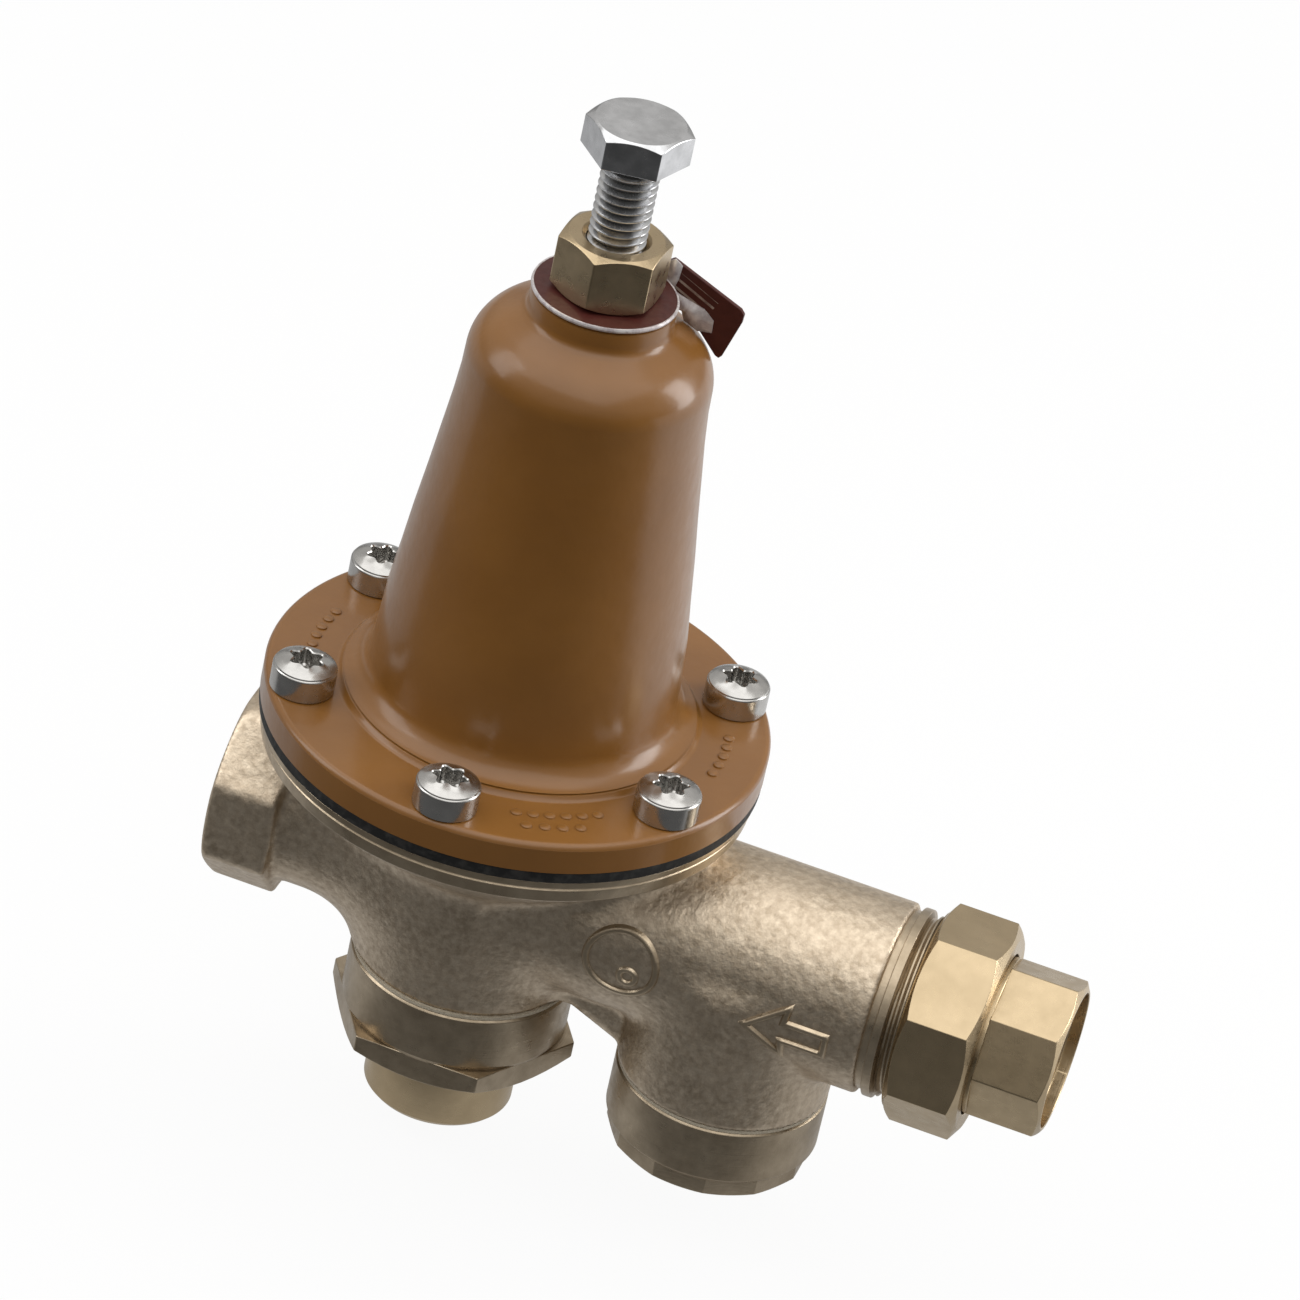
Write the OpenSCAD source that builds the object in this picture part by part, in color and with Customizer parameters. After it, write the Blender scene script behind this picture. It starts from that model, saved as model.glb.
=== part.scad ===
// Pressure reducing valve for a half inch water pipe, with a union inlet and a built-in strainer.
// The origin is the centre of the outlet port's mouth. Water enters at +X and leaves at -X,
// and the adjusting screw stands up along +Z.

/* [Pipe line] */
// Distance from the outlet's mouth to the stem axis
stem_x = 46.4; // [45:0.1:48]
// Distance from the stem axis to the strainer axis
strainer_pitch = 49.5; // [48:0.1:51]
// Distance from the stem axis to the mouth of the inlet tailpiece
inlet_reach = 107; // [106.5:0.1:109]
// Radius of the half inch pipe threads in both ports
port_r = 10.4; // [10:0.1:10.6]
// Depth of the pipe threads
port_depth = 13.4; // [12:0.1:13.6]

/* [Body] */
// Outside radius of the inlet barrel
inlet_barrel_r = 17.25; // [16.9:0.05:17.6]
// Outside radius of the outlet barrel
outlet_barrel_r = 15.4; // [15:0.1:16]
// Outside radius of the barrel under the seat
stem_barrel_r = 19.6; // [19.2:0.1:19.8]
// Outside radius of the strainer barrel
strainer_barrel_r = 18.9; // [18.5:0.1:19]
// Width across the corners of the outlet's octagon
outlet_octagon_corners = 37.4; // [36:0.1:38]

/* [Diaphragm joint] */
// Radius of the flanges
flange_r = 44; // [44:0.1:45]
// Radius of the circle of screws
screw_circle_r = 38.2; // [38:0.1:38.4]
// Height of the body's flange face above the pipe axis
body_face_z = 26.6; // [26.4:0.1:26.8]
// Thickness of the diaphragm
diaphragm_t = 2.2; // [2:0.1:2.4]

/* [Spring cage] */
// Height of the cage's top above the pipe axis
cage_top_z = 115.2; // [115:0.1:116]
// Outside radius of the cage just above the foot
cage_foot_r = 27.2; // [27:0.1:28]
// Outside radius of the cage at the shoulder
cage_shoulder_r = 20.9; // [20.7:0.1:21.5]
// Wall thickness of the cage
cage_wall = 3.4; // [3:0.1:3.5]

/* [Adjusting screw] */
// Radius of the M10 screw
screw_r = 4.98; // [4.95:0.01:5]
// Height of the screw head's underside above the pipe axis
head_z = 142; // [141:0.1:143]
// Thickness of the screw head
head_t = 6.4; // [6:0.1:7]
// Width across the flats of the screw head
head_flats = 16; // [15.5:0.1:17]
// Height of the locknut
locknut_t = 10.4; // [8:0.1:11]

/* [Valve] */
// Stroke of the stem from fully open to shut
stroke = 2.3; // [2:0.1:2.4]
// Radius of the seat's opening
seat_r = 6.5; // [6:0.1:6.8]
// Radius of the valve stem
stem_r = 3; // [2.8:0.05:3.1]

/* [Hidden] */
$fn = 96;
eps = 0.01;

bronze = [0.55, 0.48, 0.38];
brass = [0.72, 0.60, 0.38];
zinc = [0.75, 0.76, 0.78];
stainless = [0.80, 0.80, 0.80];
cage_paint = [0.55, 0.33, 0.12];
tag_red = [0.40, 0.10, 0.10];
rubber = [0.06, 0.06, 0.06];
fibre = [0.78, 0.72, 0.62];
plastic = [0.88, 0.87, 0.82];
spring_steel = [0.35, 0.35, 0.37];

thread_fit = 0.07;  // radial gap between a screwed part and its hole

// Pipe line
strainer_x = stem_x + strainer_pitch;
inlet_mouth_x = stem_x + inlet_reach;
outlet_octagon_l = 12.3;
inlet_collar_x = stem_x + 74.7;  // end of the cast inlet barrel
stub_x = stem_x + 77.5;  // start of the union thread
stub_end_x = stem_x + 86;
stub_r = 16.55;

// Heights of the valve's inside
partition_z = [-5, 0];  // the wall that carries the seat
chamber_r = 14;  // under the seat
bowl_r = 30;  // under the diaphragm
bowl_z = 20;
body_flange_t = 5.6;
cage_flange_z = body_face_z + diaphragm_t;
cage_flange_t = 5.6;
flange_top_z = cage_flange_z + cage_flange_t;

// Bottom plug and strainer cap
plug_z = -19.8;  // underside of the barrel under the seat
cap_z = -24.9;  // underside of the strainer barrel
gasket_t = 0.6;
plug_thread_r = 15.9;
cap_thread_r = 15.5;
band_edge = 0.5;  // chamfer on the plug and cap

// Strainer
screen_r = 10;
screen_seat_z = -9.8;
screen_foot_z = cap_z - 10.4;

// Spring and stem
ceiling_z = 103;  // inside top of the cage
upper_plate_t = 2;
spring_foot_z = cage_flange_z + upper_plate_t;
button_t = 5.4;
screw_tip_z = 97;
button_z = screw_tip_z - button_t;
spring_wire_r = 1.9;
spring_r = 13.2;
spring_turns = 6;
disc_z = partition_z[0] - 0.6 - 0.1 - stroke;  // top of the rubber disc with the valve open
disc_t = 2.4;

function arc(cx, cy, r, a0, a1, steps) =
    [for (i = [0:steps]) let (a = a0 + (a1 - a0) * i / steps) [cx + r * cos(a), cy + r * sin(a)]];

module at_stem() {
    translate([stem_x, 0, 0]) children();
}

module at_strainer() {
    translate([strainer_x, 0, 0]) children();
}

// Turns a part that is drawn along +Z so that it lies along +X, starting at x
module along_x(x) {
    translate([x, 0, 0]) rotate([0, 90, 0]) children();
}

// Solid of revolution about the stem axis from points of [radius, height]
module lathe(points) {
    rotate_extrude() polygon(points);
}

// Prism for a spanner whose corners are trimmed by a 30 degree cone at one end or both
module chamfered_prism(sides, corner_r, h, trim_low, trim_high, turn = 0) {
    past_r = corner_r + 1;
    end_r = corner_r * cos(180 / sides) - 0.5;
    drop = (past_r - end_r) * tan(30);
    intersection() {
        rotate([0, 0, turn]) cylinder(r = corner_r, h = h, $fn = sides);
        lathe([
            [0, 0],
            [trim_low ? end_r : past_r, 0],
            [past_r, trim_low ? drop : 1],
            [past_r, h - (trim_high ? drop : 1)],
            [trim_high ? end_r : past_r, h],
            [0, h],
        ]);
    }
}

// ---- Body -------------------------------------------------------------------------------------

module outlet_boss() {
    along_x(0)
        chamfered_prism(8, outlet_octagon_corners / 2, outlet_octagon_l, true, false, 22.5);
    along_x(outlet_octagon_l - eps) cylinder(r = outlet_barrel_r, h = stem_x - outlet_octagon_l);
}

module inlet_barrel() {
    along_x(stem_x) cylinder(r = inlet_barrel_r, h = inlet_collar_x - stem_x);
    along_x(inlet_collar_x - eps) cylinder(r = inlet_barrel_r - 1, h = 1.3);
    along_x(inlet_collar_x + 1.2) cylinder(r = inlet_barrel_r - 0.2, h = stub_x - inlet_collar_x - 1.2);
    along_x(stub_x - eps) cylinder(r = stub_r, h = stub_end_x - stub_x);
}

module bowl_outside() {
    at_stem() lathe([
        [0, plug_z],
        [stem_barrel_r, plug_z],
        [stem_barrel_r, 4],
        [26, 10],
        [34, 15],
        [flange_r - 2.6, body_face_z - body_flange_t],
        [flange_r - 0.8, body_face_z - body_flange_t + 1.6],
        [flange_r - 0.4, body_face_z],
        [0, body_face_z],
    ]);
}

// The barrel narrows at the top, so that it ends inside the inlet barrel
module strainer_barrel() {
    at_strainer() lathe([
        [0, cap_z],
        [strainer_barrel_r, cap_z],
        [strainer_barrel_r, -7],
        [inlet_barrel_r - 0.5, 0],
        [0, 6],
    ]);
}

// Cast web around the passage from the strainer to the chamber under the seat
module web() {
    web_t = 15;
    low_z = -20.6;
    translate([0, web_t / 2, 0]) rotate([90, 0, 0]) linear_extrude(web_t) polygon([
        [stem_x + 10, 0],
        [stem_x + 10, plug_z + 0.4],
        [stem_x + stem_barrel_r + 3, plug_z + 0.4],
        [stem_x + stem_barrel_r + 5.5, low_z],
        [strainer_x - strainer_barrel_r - 1.5, low_z],
        [strainer_x - strainer_barrel_r + 1, cap_z + 1],
        [strainer_x - 10, cap_z + 1],
        [strainer_x - 10, 0],
    ]);
}

// Raised arrow on the front of the inlet barrel, pointing the way the water goes
module flow_arrow() {
    tip = [stem_x + 54, -2];
    head_l = 6.8;
    head_h = 5.6;
    shaft_l = 7;
    shaft_h = 3;
    line_w = 1;
    intersection() {
        translate([0, -4, 0]) rotate([90, 0, 0]) linear_extrude(20) translate(tip) difference() {
            polygon([
                [0, 0], [head_l, head_h], [head_l, shaft_h], [head_l + shaft_l, shaft_h],
                [head_l + shaft_l, -shaft_h], [head_l, -shaft_h], [head_l, -head_h],
            ]);
            polygon([
                [line_w * 1.6, 0], [head_l - line_w, head_h - line_w * 1.9],
                [head_l - line_w, shaft_h - line_w], [head_l + shaft_l - line_w, shaft_h - line_w],
                [head_l + shaft_l - line_w, line_w - shaft_h], [head_l - line_w, line_w - shaft_h],
                [head_l - line_w, line_w * 1.9 - head_h],
            ]);
        }
        along_x(stem_x + 40) cylinder(r = inlet_barrel_r + 0.5, h = 30);
    }
}

// Raised plain ring on the front of the inlet barrel
module cast_ring() {
    intersection() {
        translate([stem_x + 31, -4, 0.5]) rotate([90, 0, 0]) difference() {
            cylinder(r = 6.8, h = 20);
            translate([0, 0, -1]) cylinder(r = 5.9, h = 22);
        }
        along_x(stem_x + 20) cylinder(r = inlet_barrel_r + 0.5, h = 30);
    }
}

module outlet_passage() {
    along_x(-eps) cylinder(r = port_r, h = port_depth + eps);
    translate([0, 0, 6]) along_x(port_depth - 1) cylinder(r = 5.8, h = stem_x - port_depth - 8);
}

module inlet_passage() {
    past = 10;  // beyond the strainer's axis
    along_x(strainer_x - past) cylinder(r = 9.5, h = stub_end_x - strainer_x + past + 1);
}

module stem_chambers() {
    above_r = 15;
    at_stem() {
        lathe([
            [0, partition_z[1]],
            [above_r, partition_z[1]],
            [above_r, 13],
            [bowl_r, bowl_z],
            [bowl_r, body_face_z + 1],
            [0, body_face_z + 1],
        ]);
        translate([0, 0, partition_z[0] - 1]) cylinder(r = 9.5, h = 8);
        translate([0, 0, plug_z - 1]) cylinder(r = chamber_r, h = partition_z[0] - plug_z + 1);
        translate([0, 0, plug_z - 1]) cylinder(r = plug_thread_r + thread_fit, h = 5.9);
    }
}

module strainer_chambers() {
    at_strainer() {
        translate([0, 0, cap_z - 1]) cylinder(r = cap_thread_r + thread_fit, h = 6.6);
        translate([0, 0, cap_z]) cylinder(r = 14.4, h = screen_seat_z - cap_z);
        translate([0, 0, screen_seat_z - eps]) cylinder(r = screen_r + 0.15, h = 2.4);
        translate([0, 0, screen_seat_z]) cylinder(r = 8.8, h = -screen_seat_z);
    }
}

module cross_passage() {
    drop = 5;
    start = [stem_x + 12.6, -9.6];
    run = strainer_pitch - 25;
    translate([start[0], 0, start[1]])
        rotate([0, 90 + atan(drop / run), 0]) cylinder(r = 4.4, h = norm([run, drop]));
}

module each_screw() {
    for (k = [0:5])
        at_stem() rotate([0, 0, 30 + 60 * k]) translate([screw_circle_r, 0, 0]) children();
}

module body() {
    color(bronze) difference() {
        union() {
            outlet_boss();
            inlet_barrel();
            bowl_outside();
            strainer_barrel();
            web();
            flow_arrow();
            cast_ring();
        }
        outlet_passage();
        inlet_passage();
        stem_chambers();
        strainer_chambers();
        cross_passage();
        each_screw() translate([0, 0, body_face_z - 5.2]) cylinder(r = 3, h = 7);
    }
}

// ---- Seat, stem and diaphragm -----------------------------------------------------------------

module seat_ring() {
    lip_z = partition_z[0] - 0.6;
    color(stainless) at_stem() lathe([
        [seat_r, lip_z],
        [seat_r + 0.5, lip_z],
        [seat_r + 1.1, partition_z[0]],
        [9.45, partition_z[0]],
        [9.45, partition_z[1] + 0.5],
        [12, partition_z[1] + 0.5],
        [12, partition_z[1] + 2.4],
        [seat_r + 0.8, partition_z[1] + 2.4],
        [seat_r, partition_z[1] + 1.6],
    ]);
}

module seat_gasket() {
    color(fibre) at_stem() translate([0, 0, partition_z[1]]) difference() {
        cylinder(r = 11.8, h = 0.5);
        translate([0, 0, -1]) cylinder(r = 9.55, h = 3);
    }
}

module valve_stem() {
    color(stainless) at_stem() {
        translate([0, 0, -43]) cylinder(r = stem_r, h = 43 + spring_foot_z + 7);
        translate([0, 0, body_face_z - 5.4]) cylinder(r = 5, h = 3);
    }
}

module stem_collar(r, z, h) {
    at_stem() translate([0, 0, z]) difference() {
        cylinder(r = r, h = h);
        translate([0, 0, -1]) cylinder(r = stem_r + 0.02, h = h + 2);
    }
}

module disc_holder() {
    color(brass) difference() {
        stem_collar(10.4, disc_z - disc_t - 2, disc_t + 1.4);
        at_stem() translate([0, 0, disc_z - disc_t]) cylinder(r = 9, h = disc_t + 1);
    }
}

module valve_disc() {
    color(rubber) stem_collar(8.9, disc_z - disc_t, disc_t);
}

module disc_retainer() {
    holder_floor_z = disc_z - disc_t - 2;
    color(stainless) at_stem() translate([0, 0, holder_floor_z - 3.52]) difference() {
        cylinder(r = 5.6, h = 3.5, $fn = 6);
        translate([0, 0, -1]) cylinder(r = stem_r + 0.02, h = 6);
    }
}

module lower_plate() {
    color(brass) at_stem() difference() {
        lathe([
            [0, body_face_z - 2.4],
            [15, body_face_z - 2.4],
            [18, body_face_z - 1.2],
            [19, body_face_z - 0.02],
            [0, body_face_z - 0.02],
        ]);
        translate([0, 0, 10]) cylinder(r = stem_r + 0.02, h = 40);
    }
}

module diaphragm() {
    color(rubber) difference() {
        at_stem() translate([0, 0, body_face_z]) cylinder(r = flange_r - 0.1, h = diaphragm_t);
        at_stem() cylinder(r = stem_r + 0.02, h = 40);
        each_screw() translate([0, 0, body_face_z - 1]) cylinder(r = 3.3, h = diaphragm_t + 2);
    }
}

// Thin ring that lets the diaphragm slide against the cage while the screws are tightened
module slip_ring() {
    color(plastic) at_stem() translate([0, 0, cage_flange_z]) difference() {
        cylinder(r = 32.8, h = 0.48);
        translate([0, 0, -1]) cylinder(r = 24.6, h = 3);
    }
}

module upper_plate() {
    color(zinc) at_stem() difference() {
        lathe([
            [0, cage_flange_z],
            [19, cage_flange_z],
            [21, cage_flange_z + 1.2],
            [21, cage_flange_z + 3.2],
            [19.4, cage_flange_z + 3.2],
            [19.4, spring_foot_z],
            [0, spring_foot_z],
        ]);
        translate([0, 0, 10]) cylinder(r = stem_r + 0.02, h = 40);
    }
}

module stem_nut() {
    color(stainless) at_stem() translate([0, 0, spring_foot_z]) difference() {
        chamfered_prism(6, 7.4, 4.6, false, true);
        translate([0, 0, -1]) cylinder(r = stem_r + 0.02, h = 7);
    }
}

// ---- Spring cage and what it holds ------------------------------------------------------------

module cage_outside() {
    foot_r = 30.6;
    foot_z = flange_top_z + 0.9;
    fillet_r = 4.6;
    neck_r = 12.3;
    shoulder_arc = 9;
    lathe(concat(
        [[0, cage_flange_z], [flange_r, cage_flange_z], [flange_r, flange_top_z - 0.8]],
        arc(flange_r - 0.8, flange_top_z - 0.8, 0.8, 30, 90, 2),
        [[foot_r + 0.7, flange_top_z], [foot_r, foot_z]],
        arc(cage_foot_r + fillet_r - 0.4, foot_z + fillet_r, fillet_r, 225, 176, 6),
        arc(cage_shoulder_r - shoulder_arc, 101, shoulder_arc, 0, 64, 8),
        [[neck_r + 1.2, 110.4], [neck_r, 111.6], [neck_r, cage_top_z - 0.8], [neck_r - 0.8, cage_top_z]],
        [[0, cage_top_z]]
    ));
}

module spring_cage() {
    throat_r = cage_shoulder_r - cage_wall;
    color(cage_paint) difference() {
        at_stem() cage_outside();
        at_stem() {
            lathe([
                [0, cage_flange_z - 1],
                [cage_foot_r - cage_wall + 0.4, cage_flange_z - 1],
                [cage_foot_r - cage_wall + 0.4, 42],
                [throat_r, 92],
                [throat_r, ceiling_z - 3],
                [throat_r - 3, ceiling_z],
                [0, ceiling_z],
            ]);
            translate([0, 0, ceiling_z - 1]) cylinder(r = screw_r + thread_fit, h = 20);
            // groove for the slip ring
            translate([0, 0, cage_flange_z - 1]) cylinder(r = 32.9, h = 1.5);
        }
        each_screw() translate([0, 0, cage_flange_z - 1]) cylinder(r = 3.3, h = cage_flange_t + 2);
    }
}

// Six pan head screws with six-lobed sockets
module cage_screws() {
    head_r = 5.6;
    head_h = 5.8;
    dome = 1.3;
    shank_l = 12.8;
    lobe_circle_r = 2;
    color(stainless) each_screw() difference() {
        union() {
            translate([0, 0, flange_top_z - shank_l]) cylinder(r = 2.95, h = shank_l + eps);
            translate([0, 0, flange_top_z]) lathe(concat(
                [[0, 0], [head_r, 0], [head_r, head_h - dome]],
                [[head_r - 0.5, head_h - 0.65], [head_r - 1.5, head_h - 0.2], [head_r - 2.6, head_h], [0, head_h]]
            ));
        }
        translate([0, 0, flange_top_z + head_h - 2.6]) {
            cylinder(r = 1.95, h = 4);
            for (k = [0:5])
                rotate([0, 0, 60 * k]) translate([lobe_circle_r, 0, 0]) cylinder(r = 0.72, h = 4, $fn = 24);
        }
    }
}

module adjusting_screw() {
    color(zinc) at_stem() {
        translate([0, 0, screw_tip_z + 1.5]) cylinder(r = screw_r, h = head_z - screw_tip_z - 1.5 + eps);
        translate([0, 0, screw_tip_z]) cylinder(r1 = screw_r - 1.5, r2 = screw_r, h = 1.5 + eps);
        translate([0, 0, head_z])
            chamfered_prism(6, head_flats / 2 / cos(30), head_t, false, true, 11);
    }
}

module locknut() {
    flats = 17;
    color(brass) at_stem() translate([0, 0, cage_top_z + 1]) difference() {
        chamfered_prism(6, flats / 2 / cos(30), locknut_t, true, true, 27);
        translate([0, 0, -1]) cylinder(r = screw_r + thread_fit, h = locknut_t + 2);
    }
}

// Tag clamped under the locknut: a ring, a plate folded up from it, and a wing folded down beside
// the plate. The plate's lower edge follows the cage's shoulder, so that the tag can swivel.
module id_tag() {
    sheet_t = 0.8;
    ring_r = 12.5;
    plate_y = 10.1;
    wing_turn = 40;
    wing_slope = 28;
    wing = [6.2, 7.2];
    color(tag_red) at_stem() translate([0, 0, cage_top_z + 0.1]) {
        difference() {
            cylinder(r = ring_r, h = sheet_t);
            translate([0, 0, -1]) cylinder(r = screw_r + 0.3, h = 3);
        }
        translate([0, plate_y + sheet_t, 0]) rotate([90, 0, 0]) linear_extrude(sheet_t) polygon([
            [4.6, 0.3], [4.6, 3.3], [7.5, 4.7], [21.4, -1.6], [18.9, -10.9],
            [17.6, -8.9], [14.2, -6.1], [9.6, -3.3], [8.6, -1.9], [7.9, 0],
        ]);
        intersection() {
            rotate([0, 0, wing_turn]) translate([12, -4.3, 0])
                rotate([0, wing_slope, 0]) cube([wing[0], wing[1], sheet_t]);
            translate([0, plate_y + sheet_t - 20, -10]) cube([30, 20, 20]);
        }
    }
}

module spring_button() {
    button_r = 16.6;
    color(zinc) at_stem() lathe([
        [0, button_z - 1.6],
        [10.4, button_z - 1.6],
        [10.8, button_z],
        [button_r, button_z],
        [button_r, button_z + 2.2],
        [9, screw_tip_z],
        [5.2, screw_tip_z],
        [4.4, screw_tip_z - 0.1],
        [0, screw_tip_z - 0.1],
    ]);
}

// Section across the coil of a helical spring: the wire's round section, swept along the helix
function coil_section(r, wire_r, pitch, steps) =
    let (reach = 360 * wire_r / pitch)
    concat(
        [for (i = [0:steps]) let (a = -reach + 2 * reach * i / steps,
            w = sqrt(max(0, wire_r * wire_r - pow(pitch * a / 360, 2)))) (r + w) * [cos(a), sin(a)]],
        [for (i = [steps - 1:-1:1]) let (a = -reach + 2 * reach * i / steps,
            w = sqrt(max(0, wire_r * wire_r - pow(pitch * a / 360, 2)))) (r - w) * [cos(a), sin(a)]]
    );

module spring_end(z) {
    translate([0, 0, z])
        rotate_extrude() translate([spring_r, spring_wire_r]) circle(r = spring_wire_r, $fn = 24);
}

module adjusting_spring() {
    gap = 0.05;
    span = button_z - spring_foot_z - 2 * gap;
    pitch = (span - 2 * spring_wire_r) / spring_turns;
    color(spring_steel) at_stem() translate([0, 0, spring_foot_z + gap]) {
        spring_end(0);
        translate([0, 0, spring_wire_r])
            linear_extrude(height = span - 2 * spring_wire_r, twist = -360 * spring_turns,
                slices = 16 * spring_turns, $fn = 12)
                polygon(coil_section(spring_r, spring_wire_r, pitch, 8));
        spring_end(span - 2 * spring_wire_r);
    }
}

// ---- Bottom plug ------------------------------------------------------------------------------

module flat_gasket(r, hole_r, z) {
    translate([0, 0, z]) difference() {
        cylinder(r = r, h = gasket_t - 0.02);
        translate([0, 0, -1]) cylinder(r = hole_r, h = gasket_t + 2);
    }
}

module plug_gasket() {
    color(fibre) at_stem() flat_gasket(19.9, plug_thread_r + 0.1, plug_z - gasket_t);
}

module bottom_plug() {
    band_r = 20.1;
    hex_z = -31.2;
    hex_r = 22.8;
    hex_t = 5.3;
    boss_r = 13.3;
    boss_z = -49.4;
    top = plug_z - gasket_t - 0.02;
    color(bronze) at_stem() difference() {
        union() {
            lathe([
                [0, boss_z],
                [boss_r - 1, boss_z],
                [boss_r, boss_z + 1],
                [boss_r, hex_z - hex_t + eps],
                [boss_r, hex_z],
                [band_r - 0.3, hex_z],
                [band_r, hex_z + 0.4],
                [band_r, top - band_edge],
                [band_r - band_edge, top],
                [plug_thread_r, top],
                [plug_thread_r, plug_z + 4.2],
                [plug_thread_r - 0.6, plug_z + 4.8],
                [0, plug_z + 4.8],
            ]);
            translate([0, 0, hex_z - hex_t]) chamfered_prism(6, hex_r, hex_t + eps, true, false);
        }
        translate([0, 0, -29]) cylinder(r = 12.2, h = 30);
        translate([0, 0, -44.5]) cylinder(r = 4.6, h = 20);
    }
}

module guide_bush() {
    color(plastic) at_stem() translate([0, 0, -44.4]) difference() {
        cylinder(r = 4.58, h = 15.2);
        translate([0, 0, -1]) cylinder(r = stem_r + 0.06, h = 18);
    }
}

// ---- Strainer ---------------------------------------------------------------------------------

module strainer_screen() {
    wall = 0.7;
    rim = 3;
    rows = 4;
    top = screen_seat_z + 1.8;
    high = top - screen_foot_z;
    pitch = (high - 2 * rim) / rows;
    color(stainless) at_strainer() difference() {
        translate([0, 0, screen_foot_z]) cylinder(r = screen_r, h = high);
        translate([0, 0, screen_foot_z - 1]) cylinder(r = screen_r - wall, h = high + 2);
        for (row = [0:rows - 1], k = [0:9])
            translate([0, 0, screen_foot_z + rim + pitch * (row + 0.5)])
                rotate([0, 90, 36 * (k + row * 0.5)])
                    translate([0, 0, screen_r - 2]) cylinder(r = 1.9, h = 4, $fn = 24);
    }
}

module cap_gasket() {
    color(fibre) at_strainer() flat_gasket(18.7, cap_thread_r + 0.1, cap_z - gasket_t);
}

module strainer_cap() {
    band_r = 18.9;
    foot_z = -36.4;
    foot_r = 18.2;
    foot_t = 4.1;
    top = cap_z - gasket_t - 0.02;
    color(bronze) at_strainer() difference() {
        union() {
            lathe([
                [0, foot_z - eps],
                [band_r - 0.8, foot_z - eps],
                [band_r, foot_z + 0.7],
                [band_r, top - band_edge],
                [band_r - band_edge, top],
                [cap_thread_r, top],
                [cap_thread_r, cap_z + 4.8],
                [cap_thread_r - 0.6, cap_z + 5.4],
                [0, cap_z + 5.4],
            ]);
            translate([0, 0, foot_z - foot_t]) chamfered_prism(12, foot_r, foot_t, true, false, 15);
        }
        translate([0, 0, screen_foot_z + 1.2]) cylinder(r = 13, h = 30);
        translate([0, 0, screen_foot_z - 0.02]) cylinder(r = screen_r + 0.15, h = 3);
    }
}

// ---- Union ------------------------------------------------------------------------------------

nut_x = stem_x + 80;
nut_end_x = stem_x + 93.4;
shoulder_x = nut_end_x - 3;
tail_flange_t = 3.2;
tail_flange_r = 16.2;
tail_neck_r = 14.1;

module union_gasket() {
    color(fibre) along_x(stub_end_x + 0.02) difference() {
        cylinder(r = 16, h = shoulder_x - tail_flange_t - stub_end_x - 0.06);
        translate([0, 0, -1]) cylinder(r = 10.2, h = 5);
    }
}

module union_nut() {
    color(brass) along_x(nut_x) difference() {
        chamfered_prism(8, 19.7, nut_end_x - nut_x, true, true, 90 - 28.3);
        translate([0, 0, -1]) cylinder(r = stub_r + thread_fit, h = shoulder_x - nut_x + 1);
        translate([0, 0, -1]) cylinder(r = tail_neck_r + 0.45, h = 20);
    }
}

module union_tailpiece() {
    hub_x = nut_end_x + 0.6;
    hub_r = 14.4;
    color(brass) difference() {
        union() {
            along_x(shoulder_x - tail_flange_t) cylinder(r = tail_flange_r, h = tail_flange_t - 0.03);
            along_x(shoulder_x - 0.1) cylinder(r = tail_neck_r, h = hub_x - shoulder_x + 0.2);
            along_x(hub_x) chamfered_prism(8, hub_r, inlet_mouth_x - hub_x, false, true, 90);
        }
        along_x(inlet_mouth_x - port_depth) cylinder(r = port_r, h = port_depth + 1);
        along_x(shoulder_x - 6) cylinder(r = 9.5, h = 20);
    }
}

body();
seat_ring();
seat_gasket();
spring_cage();
cage_screws();
diaphragm();
slip_ring();
adjusting_screw();
locknut();
id_tag();
spring_button();
adjusting_spring();
upper_plate();
lower_plate();
stem_nut();
valve_stem();
disc_holder();
valve_disc();
disc_retainer();
bottom_plug();
plug_gasket();
guide_bush();
strainer_screen();
strainer_cap();
cap_gasket();
union_nut();
union_tailpiece();
union_gasket();
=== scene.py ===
"""Looks of the pressure reducing valve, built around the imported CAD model.

Lengths are in millimetres until a mesh is made. Angles that are given as numbers are in degrees, and
angles that are worked out from them are in radians.
"""

from math import acos, atan2, ceil, cos, degrees, dist, pi, radians, sin, tan

import bmesh
import bpy
import numpy as np
from mathutils import Matrix, Vector


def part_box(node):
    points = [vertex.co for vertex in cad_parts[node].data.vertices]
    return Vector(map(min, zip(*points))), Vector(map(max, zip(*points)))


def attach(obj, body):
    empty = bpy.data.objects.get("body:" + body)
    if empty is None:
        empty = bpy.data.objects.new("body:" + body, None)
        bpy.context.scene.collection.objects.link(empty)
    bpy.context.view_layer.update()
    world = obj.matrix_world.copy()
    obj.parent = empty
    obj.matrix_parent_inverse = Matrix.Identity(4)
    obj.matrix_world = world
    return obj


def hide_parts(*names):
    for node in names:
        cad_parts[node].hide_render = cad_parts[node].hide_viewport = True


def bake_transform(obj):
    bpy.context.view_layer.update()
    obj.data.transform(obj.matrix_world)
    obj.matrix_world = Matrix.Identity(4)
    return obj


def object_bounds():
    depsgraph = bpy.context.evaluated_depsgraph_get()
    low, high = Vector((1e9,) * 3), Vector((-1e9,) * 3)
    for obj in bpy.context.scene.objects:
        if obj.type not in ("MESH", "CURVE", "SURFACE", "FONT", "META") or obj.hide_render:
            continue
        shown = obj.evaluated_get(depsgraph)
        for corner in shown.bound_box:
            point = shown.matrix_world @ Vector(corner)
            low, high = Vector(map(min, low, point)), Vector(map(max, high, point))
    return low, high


MM = 0.001

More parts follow.
